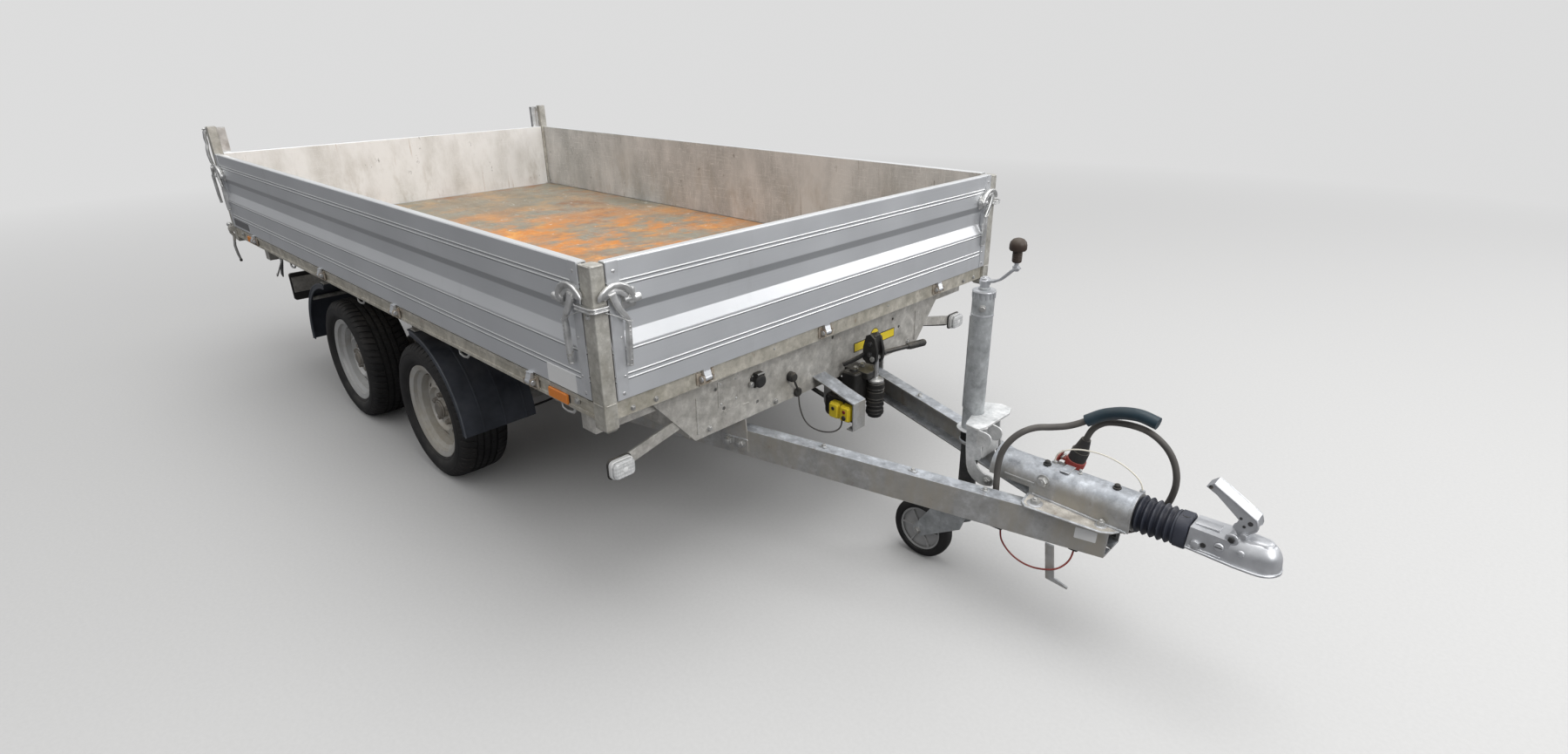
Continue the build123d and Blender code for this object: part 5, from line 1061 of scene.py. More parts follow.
def build_front_plate():
    details = Shape()
    # Patch plate, bolts and stiffening folds on the plate's face
    details.prism(box(82, 84, 4), (PLATE_FACE - 0.4, -421.5, 580), FRONT, 2.6, 0, 0.8)
    for y, z in ((-452, 612), (-391, 612), (-452, 548), (-391, 548)):
        details.dome((PLATE_FACE + 2, y, z), X, 4, 2.2, 1)
    for y, z in ((-560, 642), (-330, 642), (-40, 642), (300, 642), (560, 642), (-500, 486), (-220, 480), (210, 480),
                 (500, 486)):
        details.bolt((PLATE_FACE, y, z), X, 13, 6, 1)
    for y in (-545, 545):
        details.weld((PLATE_FACE + 0.5, y, 482), (PLATE_FACE + 0.5, y, 598), 3, 0)
    for y, z in ((-430, 520), (-350, 516)):
        details.weld((PLATE_FACE + 0.5, y - 14, z), (PLATE_FACE + 0.5, y + 14, z), 2.2, 0)
    piece("front_plate_details", details, "trailer", [ZINC_CHASSIS, DULL_ZINC], bevel=0.3)

    sign = Shape()
    # Bare name plate: a yellow field in a black frame, with a bare disc above its middle
    sign.prism(box(237, 35, 3), (PLATE_FACE, 293.5, 548.5), FRONT, 1, 0, 0.3)
    sign.prism(box(231, 29, 2), (PLATE_FACE + 1, 293.5, 548.5), FRONT, 0.5, 1, 0.2)
    sign.turned([(0, 24), (0.7, 24), (1, 23.4)], (PLATE_FACE, 292, 569), X, 0, 36)
    sign.turned([(0.8, 22), (1.3, 22), (1.5, 21.6)], (PLATE_FACE, 292, 569), X, 1, 36)
    piece("bare_name_plate", sign, "trailer", [BLACK_PAINT, YELLOW])

    sockets = Shape()
    # Round socket with an eight-sided flange, hinged lid and side latch
    place, out = Vector((PLATE_FACE, -304, 581)), Vector(X)
    sockets.turned([(0, 27), (4, 27), (5.5, 25)], place, out, 0, 8, math.radians(22.5))
    sockets.turned([(4, 20.5), (18, 20.5), (19, 21.5), (22, 21.5), (24, 19), (27, 17), (28, 12)], place, out, 0, 28)
    for angle in around(10):
        rib = spoke(angle, Y, Z) * 20.3
        sockets.sweep(box(4, 3, 1, 1), [place + rib + out * 6, place + rib + out * 17], rib)
    sockets.prism(box(30, 12, 3), place + Vector((6, 0, 21)), FRONT, 18, 0, 1)
    sockets.turned([(-14, 3), (14, 3)], place + Vector((22, 0, 25)), Y, 1, 12)
    sockets.turned([(0, 9), (6, 8.6), (8, 6.5)], place + Vector((6, -27, -6)), out, 1, 16)
    for y, z in ((-18, -18), (18, -18), (18, 18), (-18, 18)):
        sockets.dome(place + Vector((4, y, z)), out, 3, 2.2, 1, 10)
    # Small socket with its cap on a strap
    place = Vector((PLATE_FACE, -152, 545))
    sockets.turned([(0, 17), (3, 17), (4, 15.5), (16, 15.5), (18, 13.5), (22, 13), (23, 9)], place, out)
    for low in (7 + 3.4 * n for n in range(3)):
        sockets.turned([(low, 15.6), (low + 1, 16.8), (low + 2.4, 15.6)], place, out)
    strap = [(906, -150, 533), (908, -146, 524), (907, -139, 511), (904, -130, 497), (901, -122, 486)]
    sockets.sweep(box(8, 2.6, 1, 1), strap, X)
    cap = Vector((PLATE_FACE + 1, -120, 480))
    sockets.turned([(0, 14), (1, 15.5), (8, 15.5), (10, 13.5), (10.5, 8)], cap, out)
    for angle in around(12):
        rim = spoke(angle, Y, Z) * 15.2
        sockets.sweep(box(2.4, 1.6, 0.6, 1), [cap + rim + out * 1.5, cap + rim + out * 7.5], rim)
    # Gland blocks and the clip at the front of the left arm
    for x, y, width, length, height in ((1616, -86, 66, 48, 14), (1834, -54, 26, 26, 5.9)):
        sockets.prism(box(width, length, 5), (x, y, 281), TOP, height, 0, 1.2)
    clip = [(1886, 18), (1911, 18), (1910.2, 20.1), (1900.4, 44.1), (1899.5, 46.5), (1886, 50.3)]
    sockets.prism(clip, (0, 0, 315), TOP, 28, 0, 1.2)
    sockets.turned([(-4, 14), (0, 14), (1, 12.5), (6, 11.5), (9, 9.6)], (1604, -72, 295), Z, 0, 18)
    piece("front_sockets", sockets, "trailer", [BLACK_PLASTIC, DULL_ZINC], smooth=40, replaced="sockets_and_glands")


def build_pump():
    """Hand pump: tank, ribbed body, bright plunger rod, linked head, and the lever with its grip."""
    pump = Shape()
    x, y = 990, 175
    body = [(0, 22), (2, 25), (10, 26), (12, 31), (30, 31), (32, 28), (40, 28), (42, 30.5), (60, 30.5), (62, 27),
            (70, 27), (72, 30.5), (96, 30.5), (98, 27.5), (104, 27.5), (106, 30.5), (126, 30.5), (128, 27), (132, 26)]
    pump.turned(body, (x, y, 322), Z, 0, 32)
    pump.turned([(0, 24), (1, 28), (8, 28), (10, 25), (13, 20), (15, 12)], (x, y, 453), Z, 1, 32)
    pump.turned([(0, 8.5), (78, 8.5)], (x, y, 462), Z, 2, 20)
    for z in (338, 366, 392, 428):
        pump.turned([(0, 31.2), (1.5, 32.2), (3, 31.2)], (x, y, z), Z, 0, 32)
    # Tank behind, with ribs, filler cap and drain plug
    pump.prism(box(66, 120, 12), (x - 58, y - 20, 380), TOP, 112, 0, 5)
    for rib in (-44, -22, 0, 22, 44):
        pump.sweep(box(5, 3, 1, 1), [(x - 25.4, y - 20 + rib, z) for z in (388, 482)], X)
    pump.turned([(0, 14), (6, 14), (9, 12), (10, 6)], (x - 58, y - 50, 491), Z, 0, 20)
    pump.bolt((x - 26, y - 62, 396), X, 15, 8, 1)
    pump.turned([(0, 20), (7, 20), (9, 17), (13, 12), (14, 9)], (x - 24, y - 58, 362), X)
    pump.bolt((x - 12, y - 58, 362), X, 17, 7, 1, stud=4)
    # Foot to the front plate
    pump.prism(box(100, 60, 4), (940, y - 18, 472), TOP, 22, 0, 1.5)
    for dy in (-18, 18):
        pump.bolt((928, y - 18 + dy, 494), Z, 13, 7, 1)
    # Head: cheeks either side of the rod's eye, with cross pins
    cheek = [(-34, -14), (-18, -26), (16, -24), (24, -8), (25, 26), (12, 68), (-6, 80), (-22, 72), (-34, 30)]
    for dy in (-23, 11):
        pump.prism([(-a, b) for a, b in cheek[::-1]], (x - 8, y + dy, 546), OUTER[1], 12, 0, 1.8)
    eye = [(-15, 16), (15, 16), (15, 74), (8, 78), (-8, 78), (-15, 74)]
    pump.prism(eye, (x - 22, y, 546), FRONT, 26, 0, 2)
    pump.turned([(-27, 9), (27, 9)], (x, y, 540), Y, 1, 16)
    for dz in (8, 46):
        for side in (-1, 1):
            pump.bolt((x - 12, y + side * 23, 546 + dz), (0, side, 0), 13, 6, 3, turn=dz)
    link = [(x - 30, y - 4, 556), (x - 46, y - 30, 541), (x - 62, y - 60, 528), (x - 76, y - 86, 519)]
    pump.sweep(box(10, 16, 4, 2), link)
    # Lever: bar, collar, ribbed grip and end ring
    start, ahead = Vector((986, 184, 550)), Vector((0, 0.992, -0.125))
    pump.turned([(0, 9.5), (16, 9.5), (18, 8), (176, 8), (178, 10.5), (186, 10.5), (188, 9)], start, ahead, 0, 18)
    pump.turned([(186, 10.6), (190, 12.4), (284, 12.4), (288, 10.5), (290, 6)], start, ahead, 4, 20)
    for low in range(196, 284, 8):
        pump.turned([(low, 12.3), (low + 1.5, 13.4), (low + 4.5, 13.4), (low + 6, 12.3)], start, ahead, 4, 20)
    pump.bolt(start + ahead * 30 + Vector((8, 0, 0)), X, 10, 5, 3)
    piece("hand_pump_parts", pump, "trailer", [BLACK_PAINT, DULL_ZINC, BRIGHT_STEEL, BLACK_STEEL, BLACK_PLASTIC],
          bevel=0.5, smooth=40, replaced="hand_pump")

    hoses = Shape()
    for radius, path in (
        (8, [(960, 150, 392), (950, 150, 362), (928, 140, 348), (880, 120, 350), (820, 90, 380), (700, 60, 430),
             (560, 40, 452)]),
        (8, [(960, 196, 392), (956, 204, 366), (930, 214, 352), (880, 220, 360), (800, 210, 400), (690, 190, 440),
             (560, 150, 460)]),
        (6, [(870, -260, 500), (800, -250, 520), (500, -250, 540), (100, -260, 545), (-300, -270, 540)]),
    ):
        hoses.sweep(circle(radius, 10), eased(path), (0, 0.3, 1))
    piece("hydraulic_hoses", hoses, "trailer", [BLACK_RUBBER])


def build_control():
    """Holder with a rolled frame, and a yellow handset of two lobes with its buttons."""
    unit = Shape()
    face = OUTER[-1]
    middle_x, middle_z = 990, 415
    unit.prism(box(130, 76, 10), (middle_x, 16.8, middle_z), face, 30, 0, 3)
    rim = [(middle_x + a, -15, middle_z + b) for a, b in box(122, 68, 12, 5)]
    unit.sweep(circle(3.4), rim + rim[:1], Y)
    unit.prism(box(100, 50, 8), (middle_x + 4, -12, middle_z), face, 5.2, 2, 1)
    for a, b in ((-52, -26), (-52, 26), (52, -26)):
        unit.dome((middle_x + a, -13, middle_z + b), (0, -1, 0), 4, 2.4, 3, 12)
    for x, width in ((983.5, 43), (1029, 42)):
        lobe = box(width, 56, 9, 4)
        unit.prism(lobe, (x, -17.2, 414), face, 22, 1, 2.5)
        unit.prism(inset(lobe, 3.5), (x, -39, 414), face, 7.5, 1, 3)
    unit.prism(box(8, 42, 3), (1006.5, -17.2, 414), face, 17, 2, 1.5)
    button = [(0, 6.5), (2.5, 6.5), (4, 5)]
    unit.turned([(0, 8.5), (3, 8.5), (5, 7), (6, 4)], (1030, -45, 402), (0, -1, 0), 2, 20)
    unit.turned(button, (1030, -45, 423), (0, -1, 0), 4, 18)
    unit.turned(button, (984, -45, 423), (0, -1, 0), 2, 18)
    unit.turned([(-2, 6), (1, 6.2), (3, 5.2), (5, 3.6)], (1010, -30, 388), DOWN, 2, 14)
    piece("hand_control", unit, "trailer", [BLACK_PLASTIC, YELLOW, BLACK_RUBBER, BLACK_STEEL, RED], bevel=0.4,
          smooth=40, replaced="control_unit")


def ribs(shape, middles, half, section, up, finish):
    """Short bars side by side, each from its middle by half to either end."""
    for middle in middles:
        shape.sweep(box(*section, 1), [middle - half, middle + half], up, finish)


def build_lamps():
    fronts = Shape()
    for side in (-1, 1):
        # Faceted clear lens on a dark base, on its rubber pad
        place = Vector((886.3, side * 820, 490))
        fronts.prism(box(78, 60, 14), place, FRONT, 5, 1, 1)
        fronts.prism(box(72, 54, 14), place + Vector((5, 0, 0)), FRONT, 12, 2, 1)
        fronts.prism(box(68, 50, 14), place + Vector((15, 0, 0)), FRONT, 15.5, 0, 5)
        ribs(fronts, [place + Vector((30, n * 11, 0)) for n in range(-2, 3)], Vector((0, 0, 16)), (3, 2.2, 0.9), X, 0)
        fronts.dome(place + Vector((29.5, 0, 0)), X, 9, 2.6, 2, 20)
        for a in (-27, 27):
            fronts.dome(place + Vector((26, a, -14)), X, 3.6, 3, 1, 10)
        wire = [(884, 806, 478), (872, 780, 476), (868, 700, 494), (872, 600, 520)]
        fronts.sweep(circle(3.4), flip(side, wire), Z, 1)
    piece("front_lamp_parts", fronts, "trailer", [LAMP_CLEAR, BLACK_PLASTIC, LABEL_WHITE], smooth=40,
          replaced="front_lamps")

    rears = Shape()
    for side in (-1, 1):
        place = Vector((-2140.3, side * 621, 384))
        rears.prism(box(240, 144, 12), place, REAR, 16, 1, 2)
        for offset, width, finish in ((-79, 70, 2), (-5, 70, 0), (70, 72, 0)):
            lens = place + Vector((-15, side * -offset, 0))
            rears.prism(box(width, 132, 6, 3), lens, REAR, 22, finish, 4)
            ribs(rears, [lens + Vector((-22, 0, n * 11)) for n in range(-5, 6)], Vector((0, width / 2 - 7, 0)),
                 (2.4, 2, 0.8), BACK, finish)
        for b in (-62, 62):
            rears.dome(place + Vector((-36.6, side * 42, b)), BACK, 3.5, 1.6, 1, 10)
        rears.turned([(0, 13), (4, 13), (9, 9), (11, 6)], place + Vector((0.4, side * -40, 10)), X, 1, 18)
    piece("rear_lamp_parts", rears, "trailer", [LAMP_RED, BLACK_PLASTIC, ORANGE], smooth=40, replaced="rear_lamps")

    rest = Shape()
    # Bare plate holder, triangle reflectors and the bolts of the lamp bar
    back, height = -2140.2, 396
    rest.prism(box(420, 74, 5, 3), (back, 0, height), REAR, 5, 0, 1.2)
    rest.prism(box(396, 56, 3, 2), (-2145, 0, height), REAR, 1.2, 1, 0.3)
    corners = [(-32, -24), (32, -24), (0, 32)]
    for side in (-1, 1):
        rest.prism(corners, (back, side * 330, height), REAR, 7, 2, 2)
        rest.prism(inset(corners, 9), (-2147, side * 330, height), REAR, 1.2, 3, 0.4)
        for z in (412, 378):
            rest.bolt((back, side * 420, z), BACK, 13, 6, 4)
        rest.prism(box(60, 34, 4, 3), (back, side * 226, height), REAR, 24, 0, 4)
    piece("plate_holder_and_reflectors", rest, "trailer", [BLACK_PLASTIC, LABEL_WHITE, RED, LAMP_RED, DULL_ZINC],
          smooth=40)

    markers = Shape()
    for side in (-1, 1):
        for x in (768, -1960):
            place = Vector((x, side * 899.2, 690))
            markers.prism(box(98, 34, 5, 3), place, OUTER[side], 2.4, 1, 0.5)
            markers.prism(box(91, 28, 4, 3), place + Vector((0, side * 2, 0)), OUTER[side], 6, 0, 1.5)
            ribs(markers, [place + Vector((n * 6, side * 8, 0)) for n in range(-6, 7)], Vector((0, 0, 10)),
                 (2, 1.4, 0.5), (0, side, 0), 0)
    piece("side_marker_parts", markers, "bed", [ORANGE, BLACK_PLASTIC], smooth=40, replaced="side_markers")


# Drawbar, overrun housing, coupling and jack

SLOPE = math.radians(2.633)
SPREAD = 0.29
ARM_START, ARM_SPAN, ARM_HEIGHT = 980, 321, 417
AXIS_HEIGHT = 422


def arm_point(side, along, drop, out=0):
    """A point on the outer face of a drawbar arm, from the distance along it and below its top."""
    place = Vector((ARM_START, 0, ARM_HEIGHT)) + Vector((math.cos(SLOPE), 0, -math.sin(SLOPE))) * along
    place += Vector((math.sin(SLOPE), 0, math.cos(SLOPE))) * -drop
    turn = math.atan(SPREAD)
    place += Vector((0, side * (ARM_SPAN - SPREAD * along), 0))
    return place + Vector((math.sin(turn), side * math.cos(turn), 0)) * out


def arm_top(x, lift=0):
    return ARM_HEIGHT - (x - ARM_START) * math.tan(SLOPE) + lift


def build_drawbar():
    details = Shape()
    for side in (-1, 1):
        out = arm_point(side, 0, 0, 1) - arm_point(side, 0, 0)
        # Bolts of the bracket plates, with a folded edge along the plate's foot
        for along in (-148, -108):
            details.bolt(arm_point(side, along, 43, 6.3), out, 24, 13, 0, stud=6, turn=along)
        details.weld(arm_point(side, -172, 30, 6.4), arm_point(side, -84, 30, 6.4), 3, 1)
        details.weld(arm_point(side, 712, 1, -2), arm_point(side, 925, 1, -2), 2.6, 1)
        # Cable clips along the arm's top flange
        for along in (150, 420, 620):
            foot = arm_point(side, along, 0, -26)
            details.prism(box(26, 16, 3), foot, TOP, 3.2, 1, 0.6)
            details.bolt(foot + Vector((0, 0, 3)), Z, 10, 5, 0)
    piece("drawbar_bolts", details, "trailer", [DULL_ZINC, ZINC_DRAWBAR])

    label = Shape()
    right = (arm_point(-1, 900, 0) - arm_point(-1, 860, 0)).normalized()
    up = (arm_point(-1, 0, 0, 1) - arm_point(-1, 0, 0)).cross(right).normalized()
    label.prism(box(55, 33, 2), arm_point(-1, 884, 35), (right, up), 0.8, 0, 0.2)
    piece("blank_arm_label", label, "trailer", [LABEL_WHITE])


def build_housing():
    """Seams of the arch on its flange plates, folded rims, bolts, and rings at the front end."""
    top = Shape()
    for side in (-1, 1):
        top.weld((1696, side * 51, arm_top(1696, 9.6)), (1955, side * 51, arm_top(1955, 9.6)), 3.4, 0)
        rim = [(1690, 60), (1697, 105), (1712, 118.5), (1905, 89), (1927, 72), (1940, 50)]
        top.sweep(circle(2.8), [(x, side * y, arm_top(x, 6)) for x, y in rim])
        top.turned([(0, 21), (2.4, 21), (3, 19.5), (3, 12)], (1726, side * 90, arm_top(1726, 8)), Z, 3, 32)
        top.turned([(0, 15), (1.8, 15), (2.4, 13.5), (2.4, 9)], (1894, side * 62, arm_top(1894, 8)), Z, 3, 28)
        for x, y, across in ((1726, 90, 22), (1894, 62, 17)):
            top.bolt((x, side * y, arm_top(x, 8.6)), Z, across, 12, 1, stud=5, turn=x * 0.1)
        top.bolt((1724, side * 50, 442), (0, side, 0), 24, 12, 1, stud=3, turn=0.2)
        top.sweep(box(7, 3, 1.2, 2), [(1612, side * 50.6, 424), (1700, side * 50.6, 424)], (0, side, 0))
    top.turned([(0, 50), (0, 50.7), (5, 50.9), (7, 50.3), (7, 49)], (1952, 0, AXIS_HEIGHT), X, 0, 40)
    top.turned([(0, 49), (0, 51.2), (1.2, 51.2), (1.2, 49)], (1957.6, 0, AXIS_HEIGHT), X, 3, 40)
    plate = [(1693, 56), (1699, 103), (1713, 115), (1904, 86), (1925, 70), (1937, 56)]
    for side in (-1, 1):
        top.loft([[(x, side * y, arm_top(x, lift)) for x, y in plate[::-side]] for lift in (7.4, 8.5)], 4)
    for x, y in ((1711, -8), (1900, -5)):
        top.turned([(0, 11), (3, 11), (4, 8), (10, 7.5), (12, 5), (13, 2)], (x, y, 471), Z, 2, 18)
    top.turned([(0, 6), (4, 6), (5, 3.6), (11, 3.4), (12, 4.2), (14, 3.2)], (1800, 0, 471.5), Z, 1, 14)
    top.sweep(box(46, 2.4, 1, 1), [(1752, 0, 472.6), (1778, 0, 472.6)])
    # Strap that carries the gland and the parking socket
    top.sweep(box(24, 4, 1.2, 1), [(1733, 62, arm_top(1733, 10)), (1738, 70, 410), (1742, 78, 424)], X, 1)
    piece("housing_details", top, "trailer", [ZINC_DRAWBAR, DULL_ZINC, BLACK_RUBBER, BRIGHT_ZINC, FLANGE_ZINC],
          smooth=40)


def build_bellows():
    """Folds between two collars, the front one squared, with a bare mark on top."""
    folds = Shape()
    profile = [(0, 26), (0, 41.5), (1.5, 43), (3, 43.5)]
    for tip, high, dip in ((9, 50, 17.5), (26, 50, 35), (44, 49.5, 53), (62, 49, 71), (79.5, 48, None)):
        profile += [(tip - 4.5, high - 4), (tip - 1.5, high - 0.9), (tip, high), (tip + 1.5, high - 0.9),
                    (tip + 4.5, high - 4)]
        if dip:
            profile += [(dip - 1.6, 41), (dip, 40.4), (dip + 1.6, 41)]
    profile += [(87, 40.8), (89.5, 41), (91.5, 44), (93, 45), (97, 44), (98, 41), (127, 41), (127.5, 26)]
    folds.turned(profile, (1959.8, 0, AXIS_HEIGHT), X, 0, 64)
    folds.prism(box(82, 84, 27, 5), (2058, 0, AXIS_HEIGHT), FRONT, 29, 2, 3.5)
    crescent = [(a, b * 13 / 11) for a, b in arc(11, -150, -29, 15)]
    crescent += [(a, -3.2 + b * 6 / 9.5) for a, b in arc(9.5, -35, -146, -22)]
    folds.prism(crescent, (2073, -2, 463.6), TOP, 0.9, 1, 0.2)
    piece("bellows_folds", folds, "trailer", [BELLOWS, BLACK_RUBBER, COLLAR], smooth=50, replaced="bellows")


def build_coupling():
    """Pins, bolts and rolled lower edge of the coupling head, its hoop, and a smooth skin over the dome."""
    front = Shape()
    nose = 2242
    for side in (-1, 1):
        out = Vector((0, side, 0))
        front.turned([(0, 12), (2, 12), (3, 9.6), (8, 9.6), (9, 8)], (2109, side * 38, 417), out, 0, 22)
        front.bolt((2109, side * 40, 417), out, 17, 6, 0, washer=False)
        front.turned([(0, 6.5), (1.6, 6.5), (1.7, 4.4), (0.5, 4)], (2126, side * 38.6, 420), out, 1, 18)
        front.turned([(0, 11), (3, 11), (5, 9), (5, 1)], (2160, side * 39.6, 432), out, 0, 22)
        front.prism(box(16, 2.6, 0.6, 1), (2160, side * 44.2, 432), OUTER[side], 0.9, 1)
        front.dome((2206, side * 42, 436), out, 8.5, 4.6, 0, 20)
        front.turned([(0, 15), (3, 15), (4.5, 13.5), (5, 9), (4, 8.5)], (2180, side * 30, 458), out, 0, 26)
        front.bolt((2180, side * 33.5, 458), out, 13, 5, 1, washer=False)
        front.weld((2092, side * 39.5, 405.4), (2168, side * 41.8, 405.4), 2.6, 0)
        edge = [(2090, 41.5), (2130, 44.5), (2170, 47.6), (2198, 50), (2218, 49.5), (2238, 49)]
        edge += [(nose + 42.2 * math.cos(t), 48 * math.sin(t)) for t in (1.35, 1.1, 0.85, 0.6, 0.35, 0.12)]
        front.sweep(circle(3.6, 10), [(x, side * y, 401) for x, y in edge])
    front.turned([(-31, 6), (-30, 7.5), (30, 7.5), (31, 6)], (2200, 0, 473), Y, 0, 18)
    front.sweep(box(30, 4, 1.5, 2), [(2096, 0, 456), (2120, 0, 457), (2150, 0, 457)])
    hoop = [(2199, 20, 470), (2222, 20, 494), (2223, 20, 503), (2218, 20, 519), (2168, 20, 548.5), (2118, 20, 576)]
    for side in (-1, 1):
        front.sweep(circle(2.8), flip(side, hoop), Y)
        for x, z, radius in ((2207, 506, 5.5), (2196, 494, 3.5), (2186, 512, 3.5), (2112, 566, 4.5)):
            front.turned([(0, radius), (0.8, radius)], (x, side * 20, z), (0, side, 0), 1, 18)
    # The dome's skin: its outline at each height is drawn in or out about the dome's middle
    middle, half_length, half_width = 2217, 66, 44
    shoulder = [(2156, 38), (2170, 41.6), (2194, 43.8), (2218, 45.2), (2236, 44)]
    outline = [(x, -y) for x, y in shoulder]
    outline += [(nose + 43.2 * math.sin(math.radians(t)), -43.4 * math.cos(math.radians(t))) for t in range(6, 175, 12)]
    outline += shoulder[::-1] + [(2153.6, 30), (2153.4, 0), (2153.6, -30)]
    skin = []
    for z, off in ((404.2, 0.8), (412, 0), (420, -0.8), (428, -1.9), (434, -3), (440, -5.2), (446, -8.4),
                   (452, -12.6), (457, -17), (461, -21.6), (464, -26.5), (465.8, -32), (466.2, -40)):
        skin.append([(middle + (x - middle) * (1 + off / half_length), y * (1 + off / half_width), z)
                     for x, y in outline])
    front.loft(skin, 0, capped=False)
    front.put(skin[-1], [tuple(range(len(outline)))])
    piece("coupling_details", front, "trailer", [BRIGHT_ZINC, BLACK_STEEL], smooth=45)


def build_parking_socket():
    """Parking socket with its round flap, and the ribs of its body."""
    lead = Shape()
    lean, rise = 0.2519, 0.9678
    place, ahead = Vector((1743, 80, 424)), Vector((lean, 0, rise)).normalized()
    lead.turned([(0, 20), (3, 25), (26, 25), (28, 27), (42, 27), (45, 26.5), (46, 24.5)], place, ahead, 0, 40)
    for angle in around(16):
        rib = spoke(angle, (rise, 0, -lean), Y)
        lead.sweep(box(3.4, 2.6, 1, 1), [place + ahead * 6 + rib * 24.6, place + ahead * 25 + rib * 24.6], rib)
    flap = [(0, 30), (3.4, 30.4), (5.6, 28.4), (6.6, 22), (7, 4)]
    lead.turned(flap, place + Vector((-37, -6, 26)), (-0.94, -0.05, 0.34), 0, 40)
    lead.sweep(box(20, 8, 2.4, 2), [place + Vector(v) for v in ((-12, -2, 36), (-26, -4, 38), (-38, -6, 34))])
    lead.turned([(-13, 3.4), (13, 3.4)], place + Vector((-24, -4, 42)), Y, 1, 12)
    piece("parking_socket_parts", lead, "trailer", [RED, DULL_ZINC], smooth=40, replaced="parking_socket")


JACK_X = 1470
JACK_WHEEL = (1330, 0, 100)


def build_bracket():
    """Cover plate, ring plate, two hooked side plates and the lugs under the cover's front edge."""
    cover = Shape()
    top = [(26, -82), (30, -88), (64, -93), (72, -90), (81, -60), (83, 60), (71, 92), (36, 99), (-4, 78), (-29, 46)]
    cover.prism(top + arc(30.2, 130, -71, -20), (JACK_X, 0, 545), TOP, 7, 0, 1.2)
    cover.prism([(60, -50), (60, 50)] + arc(36, 60, -61, -15), (JACK_X, 0, 497), TOP, 5, 0, 1.2)
    band = [(0, 30.1), (0, 41.5), (1.5, 43), (3.5, 43), (5, 41.5), (5, 30.1)]
    cover.hoop(band, (JACK_X, 0, 497), TOP, 0, 40)
    hook = [(1484, 546), (1528, 546), (1531, 500), (1538, 462), (1540, 450), (1534, 438), (1518, 432), (1524, 420),
            (1536, 408), (1552, 400), (1572, 399), (1583, 392), (1586, 380), (1578, 370), (1560, 364), (1538, 364),
            (1516, 374), (1502, 388), (1494, 410), (1488, 460)]
    for near in (50.6, -57):
        cover.prism([(1484 - x, z - 364) for x, z in hook], (1484, near, 364), OUTER[1], 6.4, 0, 1)
    lug = [(0, 0), (0, -38), (5, -44), (22, -46), (35, -42), (43, -32), (45, -20), (42, -9), (34, -3), (20, 0)]
    for y in (-84, -26):
        cover.prism(lug, (1536, y, 545), OUTER[-1], 4, 0, 0.8)
    cover.weld((1538, -89, 544), (1551, -58, 544), 2.4, 0)
    cover.prism(box(90, 60, 4), (1531, 0, 468), FRONT, 5, 0, 1)
    piece("jack_bracket_plates", cover, "trailer", [COVER_ZINC], smooth=40, replaced="jack_bracket")


